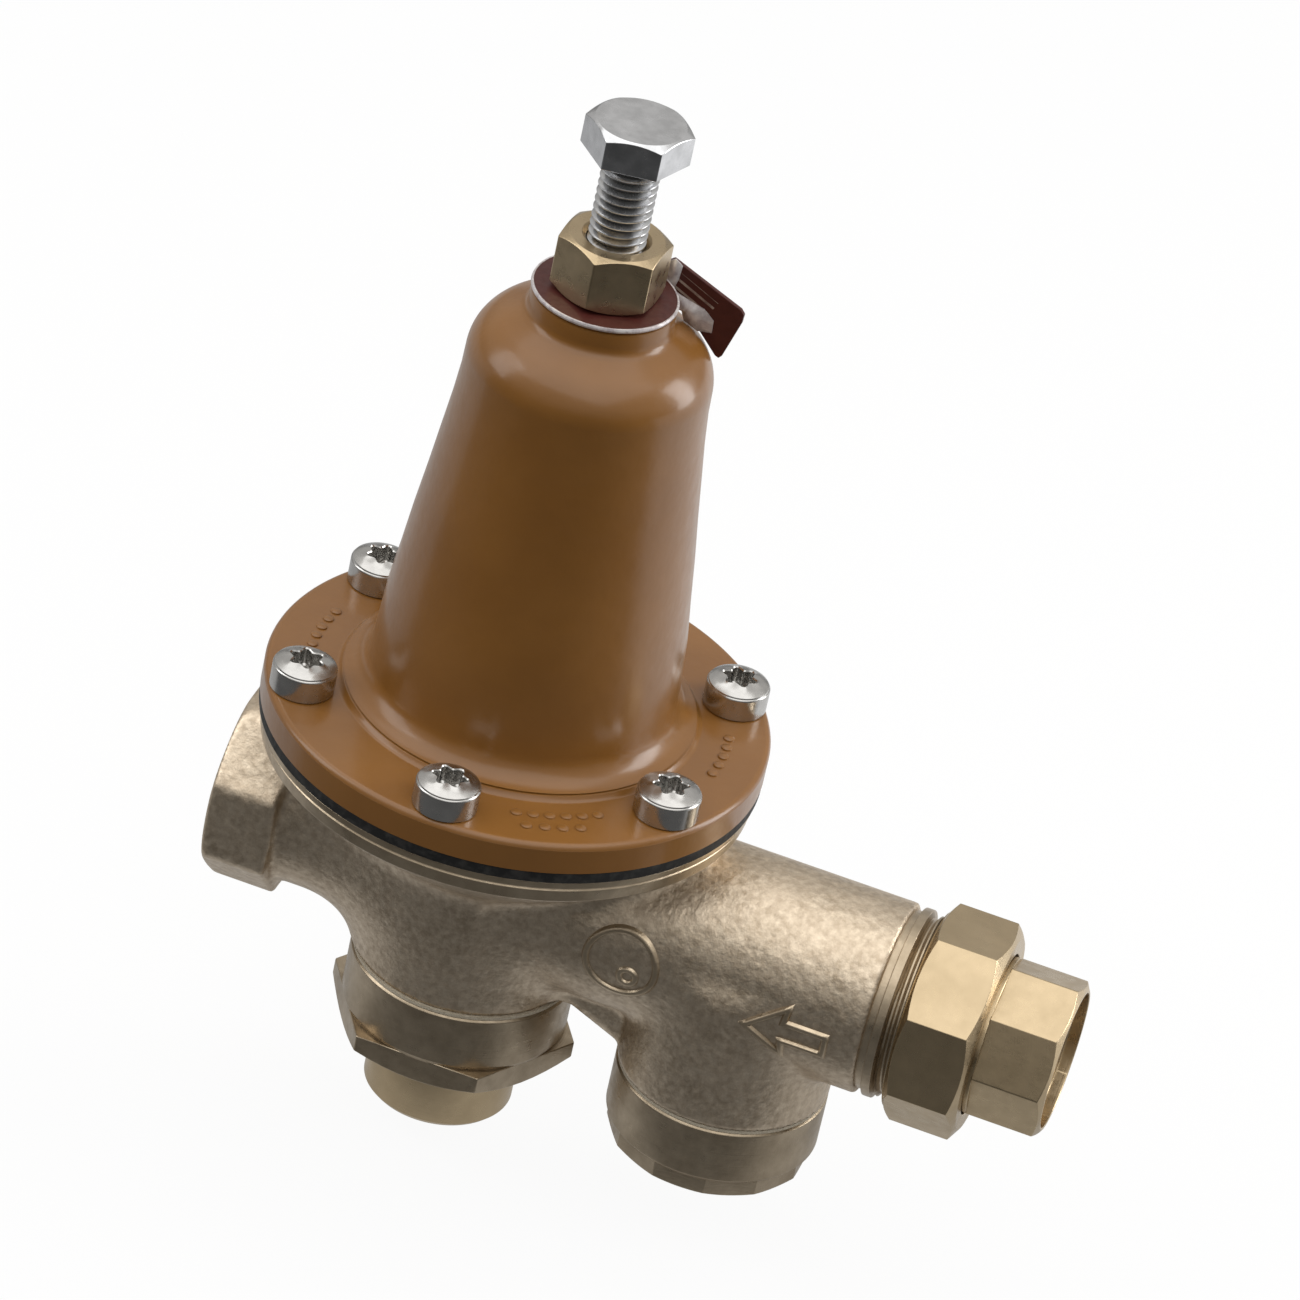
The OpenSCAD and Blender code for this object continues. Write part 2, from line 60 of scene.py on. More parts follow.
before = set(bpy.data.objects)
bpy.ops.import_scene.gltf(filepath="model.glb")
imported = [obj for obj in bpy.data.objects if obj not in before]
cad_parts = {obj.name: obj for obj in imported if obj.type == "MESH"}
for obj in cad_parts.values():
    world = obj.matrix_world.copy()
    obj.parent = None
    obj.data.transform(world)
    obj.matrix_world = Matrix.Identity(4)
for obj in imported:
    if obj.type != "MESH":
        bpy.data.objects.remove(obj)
cad_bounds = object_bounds()


def cad_box(node):
    """Lowest and highest corner of a CAD node, in millimetres."""
    low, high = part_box(node)
    return np.array(low) / MM, np.array(high) / MM


def cad_x(node):
    low, high = cad_box(node)
    return (low[0] + high[0]) / 2


STEM_X = cad_x("valve_stem")
STRAINER_X = cad_x("strainer_screen")
FACE_Z = cad_box("diaphragm")[0][2]
CAGE_Z = cad_box("diaphragm")[1][2]
FLANGE_R = (cad_box("spring_cage")[1][1] - cad_box("spring_cage")[0][1]) / 2
CAGE_TOP_Z = cad_box("spring_cage")[1][2]
HEAD_H = 6.4
HEAD_Z = cad_box("adjusting_screw")[1][2] - HEAD_H
PLUG_Z = cad_box("plug_gasket")[1][2]
CAP_Z = cad_box("cap_gasket")[1][2]
NUT_X = cad_box("union_nut")[0][0]
NUT_END_X = cad_box("union_nut")[1][0]
INLET_X = cad_box("union_tailpiece")[1][0]
STUB_END_X = cad_box("union_gasket")[0][0]
FLANGE_T = 5.6
PORT_R = 10.4
PORT_DEPTH = 13.4
BORE_R = 9.5
PIPE_PITCH = 1.814
OUTLET_FLATS = 34.5
INLET_BARREL_R = 17.25
COLLAR_X = STEM_X + 74.7
STEM_AXIS = (STEM_X, 0, 0)
STRAINER_AXIS = (STRAINER_X, 0, 0)


# ---- Outlines: closed lists of (radius, height) points ----


def eased(outline, radius, least_turn=20, steps=3):
    """The outline with each corner that turns more than least_turn degrees rounded off."""
    points = [np.array(p, float) for p in outline]
    count = len(points)
    made = []
    for i, corner in enumerate(points):
        before, after = points[i - 1] - corner, points[(i + 1) % count] - corner
        reach = min(np.linalg.norm(before), np.linalg.norm(after))
        on_axis = corner[0] < 1e-6
        if reach < 1e-6 or on_axis:
            made.append(corner)
            continue
        before, after = before / np.linalg.norm(before), after / np.linalg.norm(after)
        turn = pi - acos(np.clip(before @ after, -1, 1))
        if degrees(turn) < least_turn:
            made.append(corner)
            continue
        back = min(radius * tan(turn / 2), 0.45 * reach)
        for k in range(steps + 1):
            t = k / steps
            near = (1 - t) ** 2 * (corner + before * back)
            made.append(near + 2 * t * (1 - t) * corner + t**2 * (corner + after * back))
    return [tuple(p) for p in made]


def arc(centre, radius, start, end, steps):
    angles = np.radians(np.linspace(start, end, steps + 1))
    return [(centre[0] + radius * cos(a), centre[1] + radius * sin(a)) for a in angles]


# ---- Shells: (vertices, faces) of one closed surface ----


def hoops_joined(count, points, closed=True):
    """Quads between neighbours of count closed hoops of points; closed joins the last hoop to the first."""
    faces = []
    for i in range(count if closed else count - 1):
        this, following = i * points, (i + 1) % count * points
        for j in range(points):
            j2 = (j + 1) % points
            faces.append((this + j, following + j, following + j2, this + j2))
    return faces


def around_z(radius, angles, height):
    """Points at a radius, angle and height about Z; the three may be arrays of shapes that fit together."""
    return np.stack(np.broadcast_arrays(radius * np.cos(angles), radius * np.sin(angles), height), -1)


def swept(outlines, angles):
    """Closed shell from one outline per angle about Z, all with the same number of points."""
    outlines = np.asarray(outlines, float)
    verts = around_z(outlines[..., 0], np.asarray(angles)[:, None], outlines[..., 1])
    return verts.reshape(-1, 3), hoops_joined(*outlines.shape[:2])


def turned(outline, steps=144):
    angles = np.linspace(0, 2 * pi, steps, endpoint=False)
    return swept([outline] * steps, angles)


def rim_of(sides, flats, corner, turn, per_flat=8):
    """Angles and radii of a regular polygon's edge with rounded corners; turn is one corner's angle."""
    half = pi / sides
    centre_r = (flats / 2 - corner) / cos(half)
    points = []

    def on_corner(towards, swing):
        across = centre_r * cos(towards) + corner * cos(towards + swing)
        up = centre_r * sin(towards) + corner * sin(towards + swing)
        return np.array((across, up))

    for k in range(sides):
        towards = radians(turn) + 2 * half * k
        points += [on_corner(towards, swing) for swing in np.linspace(-half, half, 5)]
        last, following = points[-1], on_corner(towards + 2 * half, -half)
        points += [last + (following - last) * j / per_flat for j in range(1, per_flat)]
    across, up = np.array(points).T
    return np.arctan2(up, across), np.hypot(across, up)


def spanner_shape(sides, flats, low, high, inside, turn, trims=(True, True), corner=0.35, ease=0.25):
    """Nut or bolt head. inside is the outline from the top face back to the bottom face."""
    angles, radii = rim_of(sides, flats, corner, turn)
    face_r = 0.475 * flats
    slope = tan(radians(30))
    outlines = []
    for rim in radii:
        drop = (rim - face_r) * slope
        bottom = [(face_r, low), (rim, low + drop)] if trims[0] else [(rim, low)]
        top = [(rim, high - drop), (face_r, high)] if trims[1] else [(rim, high)]
        outlines.append(eased(bottom + top + list(inside), ease))
    return swept(outlines, angles)


def threaded(root, crest, pitch, low, high, closure, lead_in, columns=72):
    """Right-hand thread from low to high, closed by the outline closure, which runs from high to low."""
    shares = [0.0, 0.08, 0.25, 0.42, 0.5, 0.58, 0.75, 0.92]
    heights = [0.0, 0.0, 0.5, 0.96, 1.0, 0.96, 0.5, 0.0]
    per_turn = len(shares)
    turns = ceil((high - low) / pitch) + 2
    bases = [low + pitch * (k - 1 + s) for k in range(turns + 1) for s in shares]
    angles = np.linspace(0, 2 * pi, columns, endpoint=False)
    z = np.clip(np.array(bases)[None] + pitch * angles[:, None] / (2 * pi), low, high)
    phase = (z - low) / pitch - angles[:, None] / (2 * pi)
    flank = np.interp(phase % 1.0, shares + [1.0], heights + [heights[0]])
    flank = np.minimum(flank, np.clip(np.minimum(z - low, high - z) / lead_in, 0, 1))
    rows = len(bases)
    verts = [around_z(root + (crest - root) * flank, angles[:, None], z).reshape(-1, 3)]
    faces = []
    for i in range(columns):
        i2 = (i + 1) % columns
        shift = 0 if i2 else per_turn
        for j in range(rows - 1 - shift):
            a, b = i * rows + j, i2 * rows + j + shift
            faces.append((a, b, b + 1, a + 1))
    rings = [[i * rows + rows - 1 for i in range(columns)]]
    for k, (radius, height) in enumerate(closure):
        verts.append(around_z(radius, angles, height))
        rings.append([(rows + k) * columns + i for i in range(columns)])
    rings.append([i * rows for i in range(columns)])
    for first, second in zip(rings, rings[1:]):
        for i in range(columns):
            i2 = (i + 1) % columns
            faces.append((first[i], first[i2], second[i2], second[i]))
    return np.vstack(verts), faces


def coil(wire, radius, low, high, open_turns, part, around=14, per_turn=40):
    """Part of a spring of round wire, which has one closed turn, ground flat, at each end.

    part is where the made stretch starts and ends, from 0 at the foot to 1 at the top.
    """
    turns = open_turns + 2
    steps = int(turns * per_turn * (part[1] - part[0]))
    t = np.linspace(turns * part[0], turns * part[1], steps + 1)
    ground = 0.55 * wire
    closed_rise = 2 * wire
    open_rise = (high - low - 2 * ground - 2 * closed_rise) / open_turns
    height = low + ground + closed_rise * np.clip(t, 0, 1) + open_rise * np.clip(t - 1, 0, open_turns)
    height = height + closed_rise * np.clip(t - 1 - open_turns, 0, 1)
    angle = 2 * pi * t
    swing = np.linspace(0, 2 * pi, around, endpoint=False)
    z = np.clip(height[:, None] + wire * np.sin(swing)[None], low, high)
    verts = around_z(radius + wire * np.cos(swing)[None], angle[:, None], z).reshape(-1, 3)
    ends = [tuple(range(around)), tuple(reversed(range(steps * around, (steps + 1) * around)))]
    return verts, hoops_joined(steps + 1, around, closed=False) + ends


def plate(outline, thickness):
    """Flat sheet: an outline in X and Y, from Z 0 to thickness."""
    count = len(outline)
    verts = [(x, y, 0.0) for x, y in outline] + [(x, y, thickness) for x, y in outline]
    faces = [tuple(reversed(range(count))), tuple(range(count, 2 * count))]
    for i in range(count):
        i2 = (i + 1) % count
        faces.append((i, i2, count + i2, count + i))
    return np.array(verts), faces


def dished(outline, thickness, bulge):
    """Thin hammered sheet over an outline in X and Y, raised towards its middle."""
    outline = np.array(outline, float)
    middle = outline.mean(0)
    rings = []
    for share in (1.0, 0.66, 0.33):
        flat = middle + (outline - middle) * share
        waves = 0.25 * np.sin(1.9 * flat[:, 0] + 1.1 * flat[:, 1])
        lift = bulge * (1 - share**2) * (1 + waves)
        rings.append(np.column_stack([flat, lift]))
    count = len(outline)
    tops = [ring + np.array([0, 0, thickness]) for ring in rings]
    verts = np.vstack(tops + rings + [[*middle, bulge + thickness], [*middle, bulge]])
    faces = []
    for i in range(count):
        i2 = (i + 1) % count
        for k in range(2):
            top, low = k * count, (k + 3) * count
            faces.append((top + i, top + i2, top + count + i2, top + count + i))
            faces.append((low + i2, low + i, low + count + i, low + count + i2))
        faces.append((2 * count + i, 2 * count + i2, 6 * count))
        faces.append((5 * count + i2, 5 * count + i, 6 * count + 1))
        faces.append((i2, i, 3 * count + i, 3 * count + i2))
    return verts, faces


def moved(shell, matrix):
    verts = np.array([matrix @ Vector(v) for v in shell[0]])
    return verts, shell[1]


def at_stem(shell):
    return shell[0] + np.array([STEM_X, 0, 0]), shell[1]


def at_strainer(shell):
    return shell[0] + np.array([STRAINER_X, 0, 0]), shell[1]


def lying(shell):
    """A shell drawn along +Z, laid along +X."""
    x, y, z = shell[0].T
    return np.stack([z, y, -x], -1), shell[1]


# ---- Objects ----


def in_scene(name, data):
    made = bpy.data.objects.new(name, data)
    bpy.context.scene.collection.objects.link(made)
    return made


def new_object(name, shells, material, crease=32, bevel=0.0):
    """One object from closed shells."""
    verts, faces, base = [], [], 0
    for shell_verts, shell_faces in shells:
        verts.append(np.asarray(shell_verts, float))
        faces += [tuple(i + base for i in face) for face in shell_faces]
        base += len(shell_verts)
    mesh = bpy.data.meshes.new(name)
    mesh.from_pydata((np.vstack(verts) * MM).tolist(), [], faces)
    work = bmesh.new()
    work.from_mesh(mesh)
    bmesh.ops.remove_doubles(work, verts=work.verts, dist=1e-7)
    bmesh.ops.dissolve_degenerate(work, edges=work.edges, dist=1e-7)
    bmesh.ops.recalc_face_normals(work, faces=work.faces)
    work.to_mesh(mesh)
    work.free()
    mesh.shade_smooth()
    mesh.set_sharp_from_angle(angle=radians(crease))
    mesh.materials.append(material)
    made = in_scene(name, mesh)
    if bevel:
        edge = made.modifiers.new("edge", "BEVEL")
        edge.width = bevel * MM
        edge.segments = 2
        edge.limit_method = "ANGLE"
        edge.angle_limit = radians(40)
    weighted = made.modifiers.new("normals", "WEIGHTED_NORMAL")
    weighted.keep_sharp = True
    return made


def add_piece(name, shells, material, body, nodes, slot, **looks):
    """A piece that rides on a body in place of CAD nodes."""
    made = new_object(name, shells, material, **looks)
    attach(made, body)
    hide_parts(*nodes)


# ---- Materials ----


class Nodes:
    """A node tree under construction; coords names the coordinates that its patterns follow."""

    def __init__(self, tree, coords):
        self.tree = tree
        self.coords = self.node("ShaderNodeTexCoord").outputs[coords]

    def node(self, kind, **settings):
        made = self.tree.nodes.new(kind)
        for key, value in settings.items():
            if hasattr(made, key):
                setattr(made, key, value)
            else:
                self.join(value, made.inputs[key.replace("_", " ")])
        return made

    def join(self, value, socket):
        if isinstance(value, bpy.types.NodeSocket):
            self.tree.links.new(value, socket)
        else:
            socket.default_value = value

    def noise(self, size, detail=3.0, rough=0.55, distort=0.0):
        """Noise from 0 to 1 whose blobs are about size millimetres across."""
        made = self.node("ShaderNodeTexNoise", Scale=1 / (size * MM), Detail=detail, Roughness=rough)
        self.join(distort, made.inputs["Distortion"])
        self.join(self.coords, made.inputs["Vector"])
        return made.outputs["Fac"]

    def stretch(self, value, low, high, start=0.0, end=1.0):
        """value mapped from low..high to start..end, and held there."""
        made = self.node("ShaderNodeMapRange", clamp=True)
        for key, number in (("From Min", low), ("From Max", high), ("To Min", start), ("To Max", end)):
            made.inputs[key].default_value = number
        self.join(value, made.inputs["Value"])
        return made.outputs["Result"]

    def maths(self, operation, first, second=0.0):
        made = self.node("ShaderNodeMath", operation=operation)
        self.join(first, made.inputs[0])
        self.join(second, made.inputs[1])
        return made.outputs[0]

    def parts(self, vector):
        """The X, Y and Z of a vector."""
        made = self.node("ShaderNodeSeparateXYZ")
        self.join(vector, made.inputs[0])
        return made.outputs

    def blend(self, share, first, second):
        """A colour between first and second."""
        made = self.node("ShaderNodeMix", data_type="RGBA")
        self.join(share, made.inputs[0])
        for colour, socket in ((first, made.inputs[6]), (second, made.inputs[7])):
            self.join(colour if isinstance(colour, bpy.types.NodeSocket) else (*colour, 1.0), socket)
        return made.outputs[2]

    def mixed(self, share, first, second):
        """A shader between the first and the second."""
        made = self.node("ShaderNodeMixShader")
        for value, socket in zip((share, first, second), made.inputs):
            self.join(value, socket)
        return made.outputs[0]


class Look(Nodes):
    """A Principled material under construction."""

    def __init__(self, name, **sockets):
        self.material = bpy.data.materials.new(name)
        self.material.use_nodes = True
        super().__init__(self.material.node_tree, "Object")
        self.shader = self.tree.nodes["Principled BSDF"]
        self.normal = None
        for socket, value in sockets.items():
            self.join(value, self.shader.inputs[socket.replace("_", " ")])

    def colour(self, share, first, second):
        self.join(self.blend(share, first, second), self.shader.inputs["Base Color"])

    def patches(self, size, low=0.3, high=0.7, detail=3.0, rough=0.55, distort=0.0):
        """Noise held at 0 below low and at 1 above high."""
        return self.stretch(self.noise(size, detail, rough, distort), low, high)

    def roughness(self, size, smooth, dull, detail=3.0):
        """Roughness that wavers between smooth and dull."""
        value = self.stretch(self.noise(size, detail), 0.3, 0.7, smooth, dull)
        self.join(value, self.shader.inputs["Roughness"])

    def bump(self, value, depth):
        """Adds relief of depth millimetres on top of any earlier bump."""
        made = self.node("ShaderNodeBump", Strength=1.0, Distance=depth * MM)
        self.join(value, made.inputs["Height"])
        if self.normal:
            self.join(self.normal, made.inputs["Normal"])
        self.normal = made.outputs["Normal"]
        self.join(self.normal, self.shader.inputs["Normal"])

    def bumps(self, size, depth, detail=3.0, rough=0.55):
        self.bump(self.noise(size, detail, rough), depth)

    def across(self, axis, centre):
        """Distance from an axis that passes through centre, in metres, and the place along it."""
        from_centre, flat, length = (
            self.node("ShaderNodeVectorMath", operation=name) for name in ("SUBTRACT", "MULTIPLY", "LENGTH")
        )
        self.join(self.coords, from_centre.inputs[0])
        self.join([c * MM for c in centre], from_centre.inputs[1])
        self.join(from_centre.outputs[0], flat.inputs[0])
        self.join([0.0 if i == axis else 1.0 for i in range(3)], flat.inputs[1])
        self.join(flat.outputs[0], length.inputs[0])
        return length.outputs["Value"], self.parts(from_centre.outputs[0])[axis]

    def lathe_marks(self, axis, centre, spacing, depth):
        """Fine turning marks about an axis."""
        out, along = self.across(axis, centre)
        waver = self.maths("MULTIPLY", self.noise(6.0, 2.0), 0.35 * spacing * MM)
        place = self.maths("ADD", self.maths("ADD", out, along), waver)
        rows = self.node("ShaderNodeTexNoise", noise_dimensions="1D", Scale=1 / (spacing * MM), Detail=2.0)
        self.join(place, rows.inputs["W"])
        self.bump(rows.outputs["Fac"], depth)


def cast_bronze():
    look = Look("cast_bronze", Metallic=0.95)
    patches = look.patches(8.0, 0.32, 0.68, 4.0, 0.6)
    grains = look.patches(1.3, 0.36, 0.70, 4.0, 0.6)
    base = look.blend(patches, (0.45, 0.362, 0.262), (0.57, 0.468, 0.35))
    look.colour(grains, base, (0.72, 0.61, 0.47))
    look.roughness(1.2, 0.34, 0.50)
    look.bumps(3.2, 0.22)
    look.bumps(1.1, 0.11, 4.0, 0.6)
    return look.material


def turned_bronze(name, axis, centre, tint=1.0):
    look = Look(name, Metallic=0.95)
    patches = look.patches(7.0, 0.3, 0.7, 4.0, 0.6)
    dark = tuple(tint * c for c in (0.33, 0.265, 0.185))
    light = tuple(tint * c for c in (0.49, 0.405, 0.295))
    look.colour(patches, dark, light)
    look.roughness(1.6, 0.26, 0.42, 4.0)
    look.bumps(0.9, 0.035, 4.0, 0.6)
    look.lathe_marks(axis, centre, 0.3, 0.02)
    return look.material


def machined_brass(name, axis, centre):
    look = Look(name, Metallic=1.0)
    patches = look.patches(11.0)
    look.colour(patches, (0.465, 0.362, 0.225), (0.57, 0.448, 0.285))
    look.roughness(2.2, 0.24, 0.37)
    look.bumps(1.4, 0.02)
    look.lathe_marks(axis, centre, 0.3, 0.010)
    return look.material


def plated(name, colour, low, high, grain):
    look = Look(name, Metallic=1.0)
    patches = look.patches(3.0, 0.3, 0.7, 4.0, 0.6)
    look.colour(patches, tuple(0.85 * c for c in colour), colour)
    look.roughness(1.4, low, high)
    look.bumps(grain, 0.008)
    return look.material


def zinc_dark_in_roots():
    """Zinc plate, stained in patches and darker down in the thread's roots."""
    look = Look("zinc_dark_in_roots", Metallic=1.0)
    stains = look.patches(3.5, 0.35, 0.65)
    plate_colour = look.blend(stains, (0.56, 0.565, 0.575), (0.70, 0.705, 0.72))
    out, along = look.across(2, STEM_AXIS)
    on_head = look.maths("GREATER_THAN", along, HEAD_Z * MM)
    crest = look.maths("MAXIMUM", on_head, look.stretch(out, 4.05 * MM, 4.75 * MM))
    # Below the head the colour is darker down in the thread's roots and plate-coloured on the crests.
    look.colour(crest, (0.40, 0.395, 0.385), plate_colour)
    look.roughness(2.6, 0.15, 0.30)
    look.bumps(2.6, 0.02, 2.0, 0.5)
    return look.material


def cage_paint():
    look = Look("cage_paint", Coat_Weight=0.5, Coat_Roughness=0.17, Specular_IOR_Level=0.35)
    patches = look.patches(18.0, 0.3, 0.7, 3.0, 0.5)
    look.colour(patches, (0.205, 0.086, 0.016), (0.24, 0.104, 0.021))
    look.roughness(3.0, 0.30, 0.40)
    look.bumps(4.5, 0.10, 2.0, 0.5)
    look.bumps(1.1, 0.018, 3.0, 0.5)
    return look.material


def rubber():
    look = Look("rubber", Specular_IOR_Level=0.35)
    dust = look.patches(2.0, 0.45, 0.75, 4.0, 0.6)
    look.colour(dust, (0.012, 0.012, 0.012), (0.05, 0.048, 0.045))
    look.roughness(1.0, 0.5, 0.75)
    look.bumps(0.5, 0.03, 3.0, 0.6)
    return look.material


def fibre():
    look = Look("fibre", Roughness=0.85)
    strands = look.patches(0.5, 0.35, 0.7, 5.0, 0.7, 1.5)
    look.colour(strands, (0.42, 0.36, 0.27), (0.66, 0.60, 0.48))
    look.bumps(0.5, 0.03, 4.0, 0.7)
    return look.material


def white_plastic():
    look = Look("white_plastic", Subsurface_Weight=0.1, Subsurface_Scale=0.002)
    look.colour(look.patches(4.0), (0.68, 0.67, 0.61), (0.78, 0.77, 0.71))
    look.roughness(1.5, 0.38, 0.5)
    look.bumps(0.8, 0.015, 2.0)
    return look.material


def bare_sheet():
    look = Look("bare_sheet", Metallic=0.45)
    scuffs = look.patches(1.6, 0.35, 0.65, 4.0, 0.6, 0.6)
    look.colour(scuffs, (0.45, 0.40, 0.41), (0.74, 0.71, 0.70))
    look.roughness(1.2, 0.35, 0.5)
    look.bumps(1.3, 0.06)
    return look.material


def plain_floor():
    """White to the camera but for a faint shadow, and clear from below; as a light it is dark in front.

    The places of its bright and dark parts are in metres.
    """
    look = Look("plain_floor", Roughness=0.9, Specular_IOR_Level=0.1)
    seen = look.node("ShaderNodeLightPath").outputs["Is Camera Ray"]
    paper = look.blend(look.noise(60.0, 2.0), (0.72, 0.72, 0.72), (0.76, 0.76, 0.76))
    look.colour(seen, (0.05, 0.05, 0.05), paper)
    valve_middle_x = 0.068
    across, away = look.parts(look.coords)[:2]
    sideways = look.maths("ABSOLUTE", look.maths("SUBTRACT", across, valve_middle_x))
    behind = look.stretch(look.maths("ADD", away, look.maths("MULTIPLY", sideways, 0.25)), 0.03, 0.10)
    back_glow = look.maths("MULTIPLY", behind, look.stretch(across, -0.1, 0.25, 0.5, 0.95))
    near_glow = look.stretch(away, -0.045, -0.020, 0.13, 0.50)
    far_glow = look.stretch(away, -0.26, -0.17, 0.06, 0.50)
    floor_glow = look.maths("MAXIMUM", back_glow, look.maths("MINIMUM", near_glow, far_glow))
    glow = look.node("ShaderNodeEmission", Color=(1.0, 1.0, 1.0, 1.0))
    look.join(look.maths("MAXIMUM", seen, floor_glow), glow.inputs["Strength"])
    shadow_share = 0.07
    glow_share = look.maths("SUBTRACT", 1.0, look.maths("MULTIPLY", seen, shadow_share))
    lit = look.mixed(glow_share, look.shader.outputs[0], glow.outputs[0])
    underside = look.node("ShaderNodeNewGeometry").outputs["Backfacing"]
    clear = look.node("ShaderNodeBsdfTransparent").outputs[0]
    one_sided = look.mixed(look.maths("MULTIPLY", seen, underside), lit, clear)
    look.join(one_sided, look.tree.nodes["Material Output"].inputs["Surface"])
    return look.material


BRONZE = cast_bronze()
PLUG_BRONZE = turned_bronze("plug_bronze", 2, STEM_AXIS)
CAP_BRONZE = turned_bronze("cap_bronze", 2, STRAINER_AXIS)
STUB_BRONZE = turned_bronze("stub_bronze", 0, (0, 0, 0), tint=1.15)
# Lighter still: a painted highlight on the raised cast marks.
MARK_HIGHLIGHT_BRONZE = turned_bronze("mark_bronze_painted_highlight", 0, (0, 0, 0), tint=1.3)
FACE_BRONZE = turned_bronze("face_bronze", 2, STEM_AXIS, tint=1.2)
UNION_BRASS = machined_brass("union_brass", 0, (0, 0, 0))
LOCKNUT_BRASS = machined_brass("locknut_brass", 2, STEM_AXIS)
ZINC = plated("zinc_plate", (0.66, 0.67, 0.69), 0.16, 0.26, 0.9)
STAINLESS = plated("stainless", (0.64, 0.63, 0.61), 0.17, 0.28, 0.8)
ZINC_DARK_IN_ROOTS = zinc_dark_in_roots()
SCREW_STEEL = plated("screw_steel", (0.55, 0.54, 0.52), 0.16, 0.30, 1.0)
SPRING_STEEL = plated("spring_steel", (0.20, 0.20, 0.215), 0.3, 0.45, 0.7)
PAINT = cage_paint()
BARE_SHEET = bare_sheet()
RUBBER = rubber()
FIBRE = fibre()
PLASTIC = white_plastic()


# ---- The casting ----
# Distances to its surface, in millimetres: negative inside the metal. Bands of smoothing between
# the simple shapes make the fillets of the casting.


def merge(first, second, fillet):
    """Either shape, with a fillet in the corner between them."""
    near = np.clip(fillet - np.abs(first - second), 0, None)
    return np.minimum(first, second) - near**2 / (4 * fillet)


def common(first, second, edge):
    """What both shapes share, with the edge between them rounded."""
    return -merge(-first, -second, edge)


def rod(out, along, low, high, radius, edge=0.6):
    """Straight rod: out is the distance from its axis, along the place on it."""
    return common(out - radius, np.maximum(low - along, along - high), edge)


def outlet_octagon(x, y, z):
    """Octagon for a spanner, whose corners are turned down at the mouth."""
    length = 12.3
    sides = -np.inf
    for k in range(8):
        facing = radians(45 * k)
        facet = y * cos(facing) + z * sin(facing) - OUTLET_FLATS / 2
        sides = common(sides, facet, 1.0) if k else facet
    slope = radians(60)
    turned_down = (np.hypot(y, z) - 0.49 * OUTLET_FLATS) * cos(slope) - x * sin(slope)
    sides = common(sides, turned_down, 0.6)
    return common(sides, np.maximum(-x, x - length), 0.8)


def flange_dish(stem_r, z):
    """The diaphragm flange, whose underside slopes up from foot to rim."""
    foot_r, foot_z = 26.0, 9.6
    rim_r, rim_z = 41.0, 20.8
    slope = atan2(rim_z - foot_z, rim_r - foot_r)
    under = (foot_z - z) * cos(slope) + (stem_r - foot_r) * sin(slope)
    return common(common(under, stem_r - 42.8, 0.8), z - (FACE_Z - 3.6), 0.5)


def barrel_web(x, y, z):
    """The thin wall between the two barrels, which gets deeper towards the strainer."""
    half_t = 7.4
    low_z = PLUG_Z + 0.6 - 4.4 * np.clip((x - STEM_X - 22) / 10, 0, 1)
    ends = np.maximum(STEM_X + 8 - x, x - STRAINER_X)
    return common(np.abs(y) - half_t, np.maximum(np.maximum(low_z - z, z - 2), ends), 2.5)


def from_axes(x, y, z):
    """Distances from the axes of the pipe, the stem and the strainer."""
    return np.hypot(y, z), np.hypot(x - STEM_X, y), np.hypot(x - STRAINER_X, y)


def casting_outside(x, y, z):
    stem_barrel_r, outlet_r, strainer_barrel_r = 19.6, 15.4, 18.9
    pipe_r, stem_r, strainer_r = from_axes(x, y, z)
    solid = merge(flange_dish(stem_r, z), rod(stem_r, z, PLUG_Z - 5, 20, stem_barrel_r), 3.5)
    solid = merge(solid, rod(pipe_r, x, 5, STEM_X, outlet_r), 11.0)
    inlet = rod(pipe_r, x, STEM_X, COLLAR_X, INLET_BARREL_R, 1.0)
    strainer = common(strainer_r - strainer_barrel_r, np.maximum(CAP_Z - 5 - z, z - 2), 5.0)
    solid = merge(solid, merge(inlet, strainer, 2.5), 4.5)
    solid = merge(solid, barrel_web(x, y, z), 1.2)
    solid = merge(solid, outlet_octagon(x, y, z), 2.4)
    plug_face = np.where(stem_r < stem_barrel_r + 2, PLUG_Z - z, -1.0)
    solid = common(solid, plug_face, 0.5)
    return common(solid, np.maximum(CAP_Z - z, np.maximum(-x, x - COLLAR_X)), 0.5)


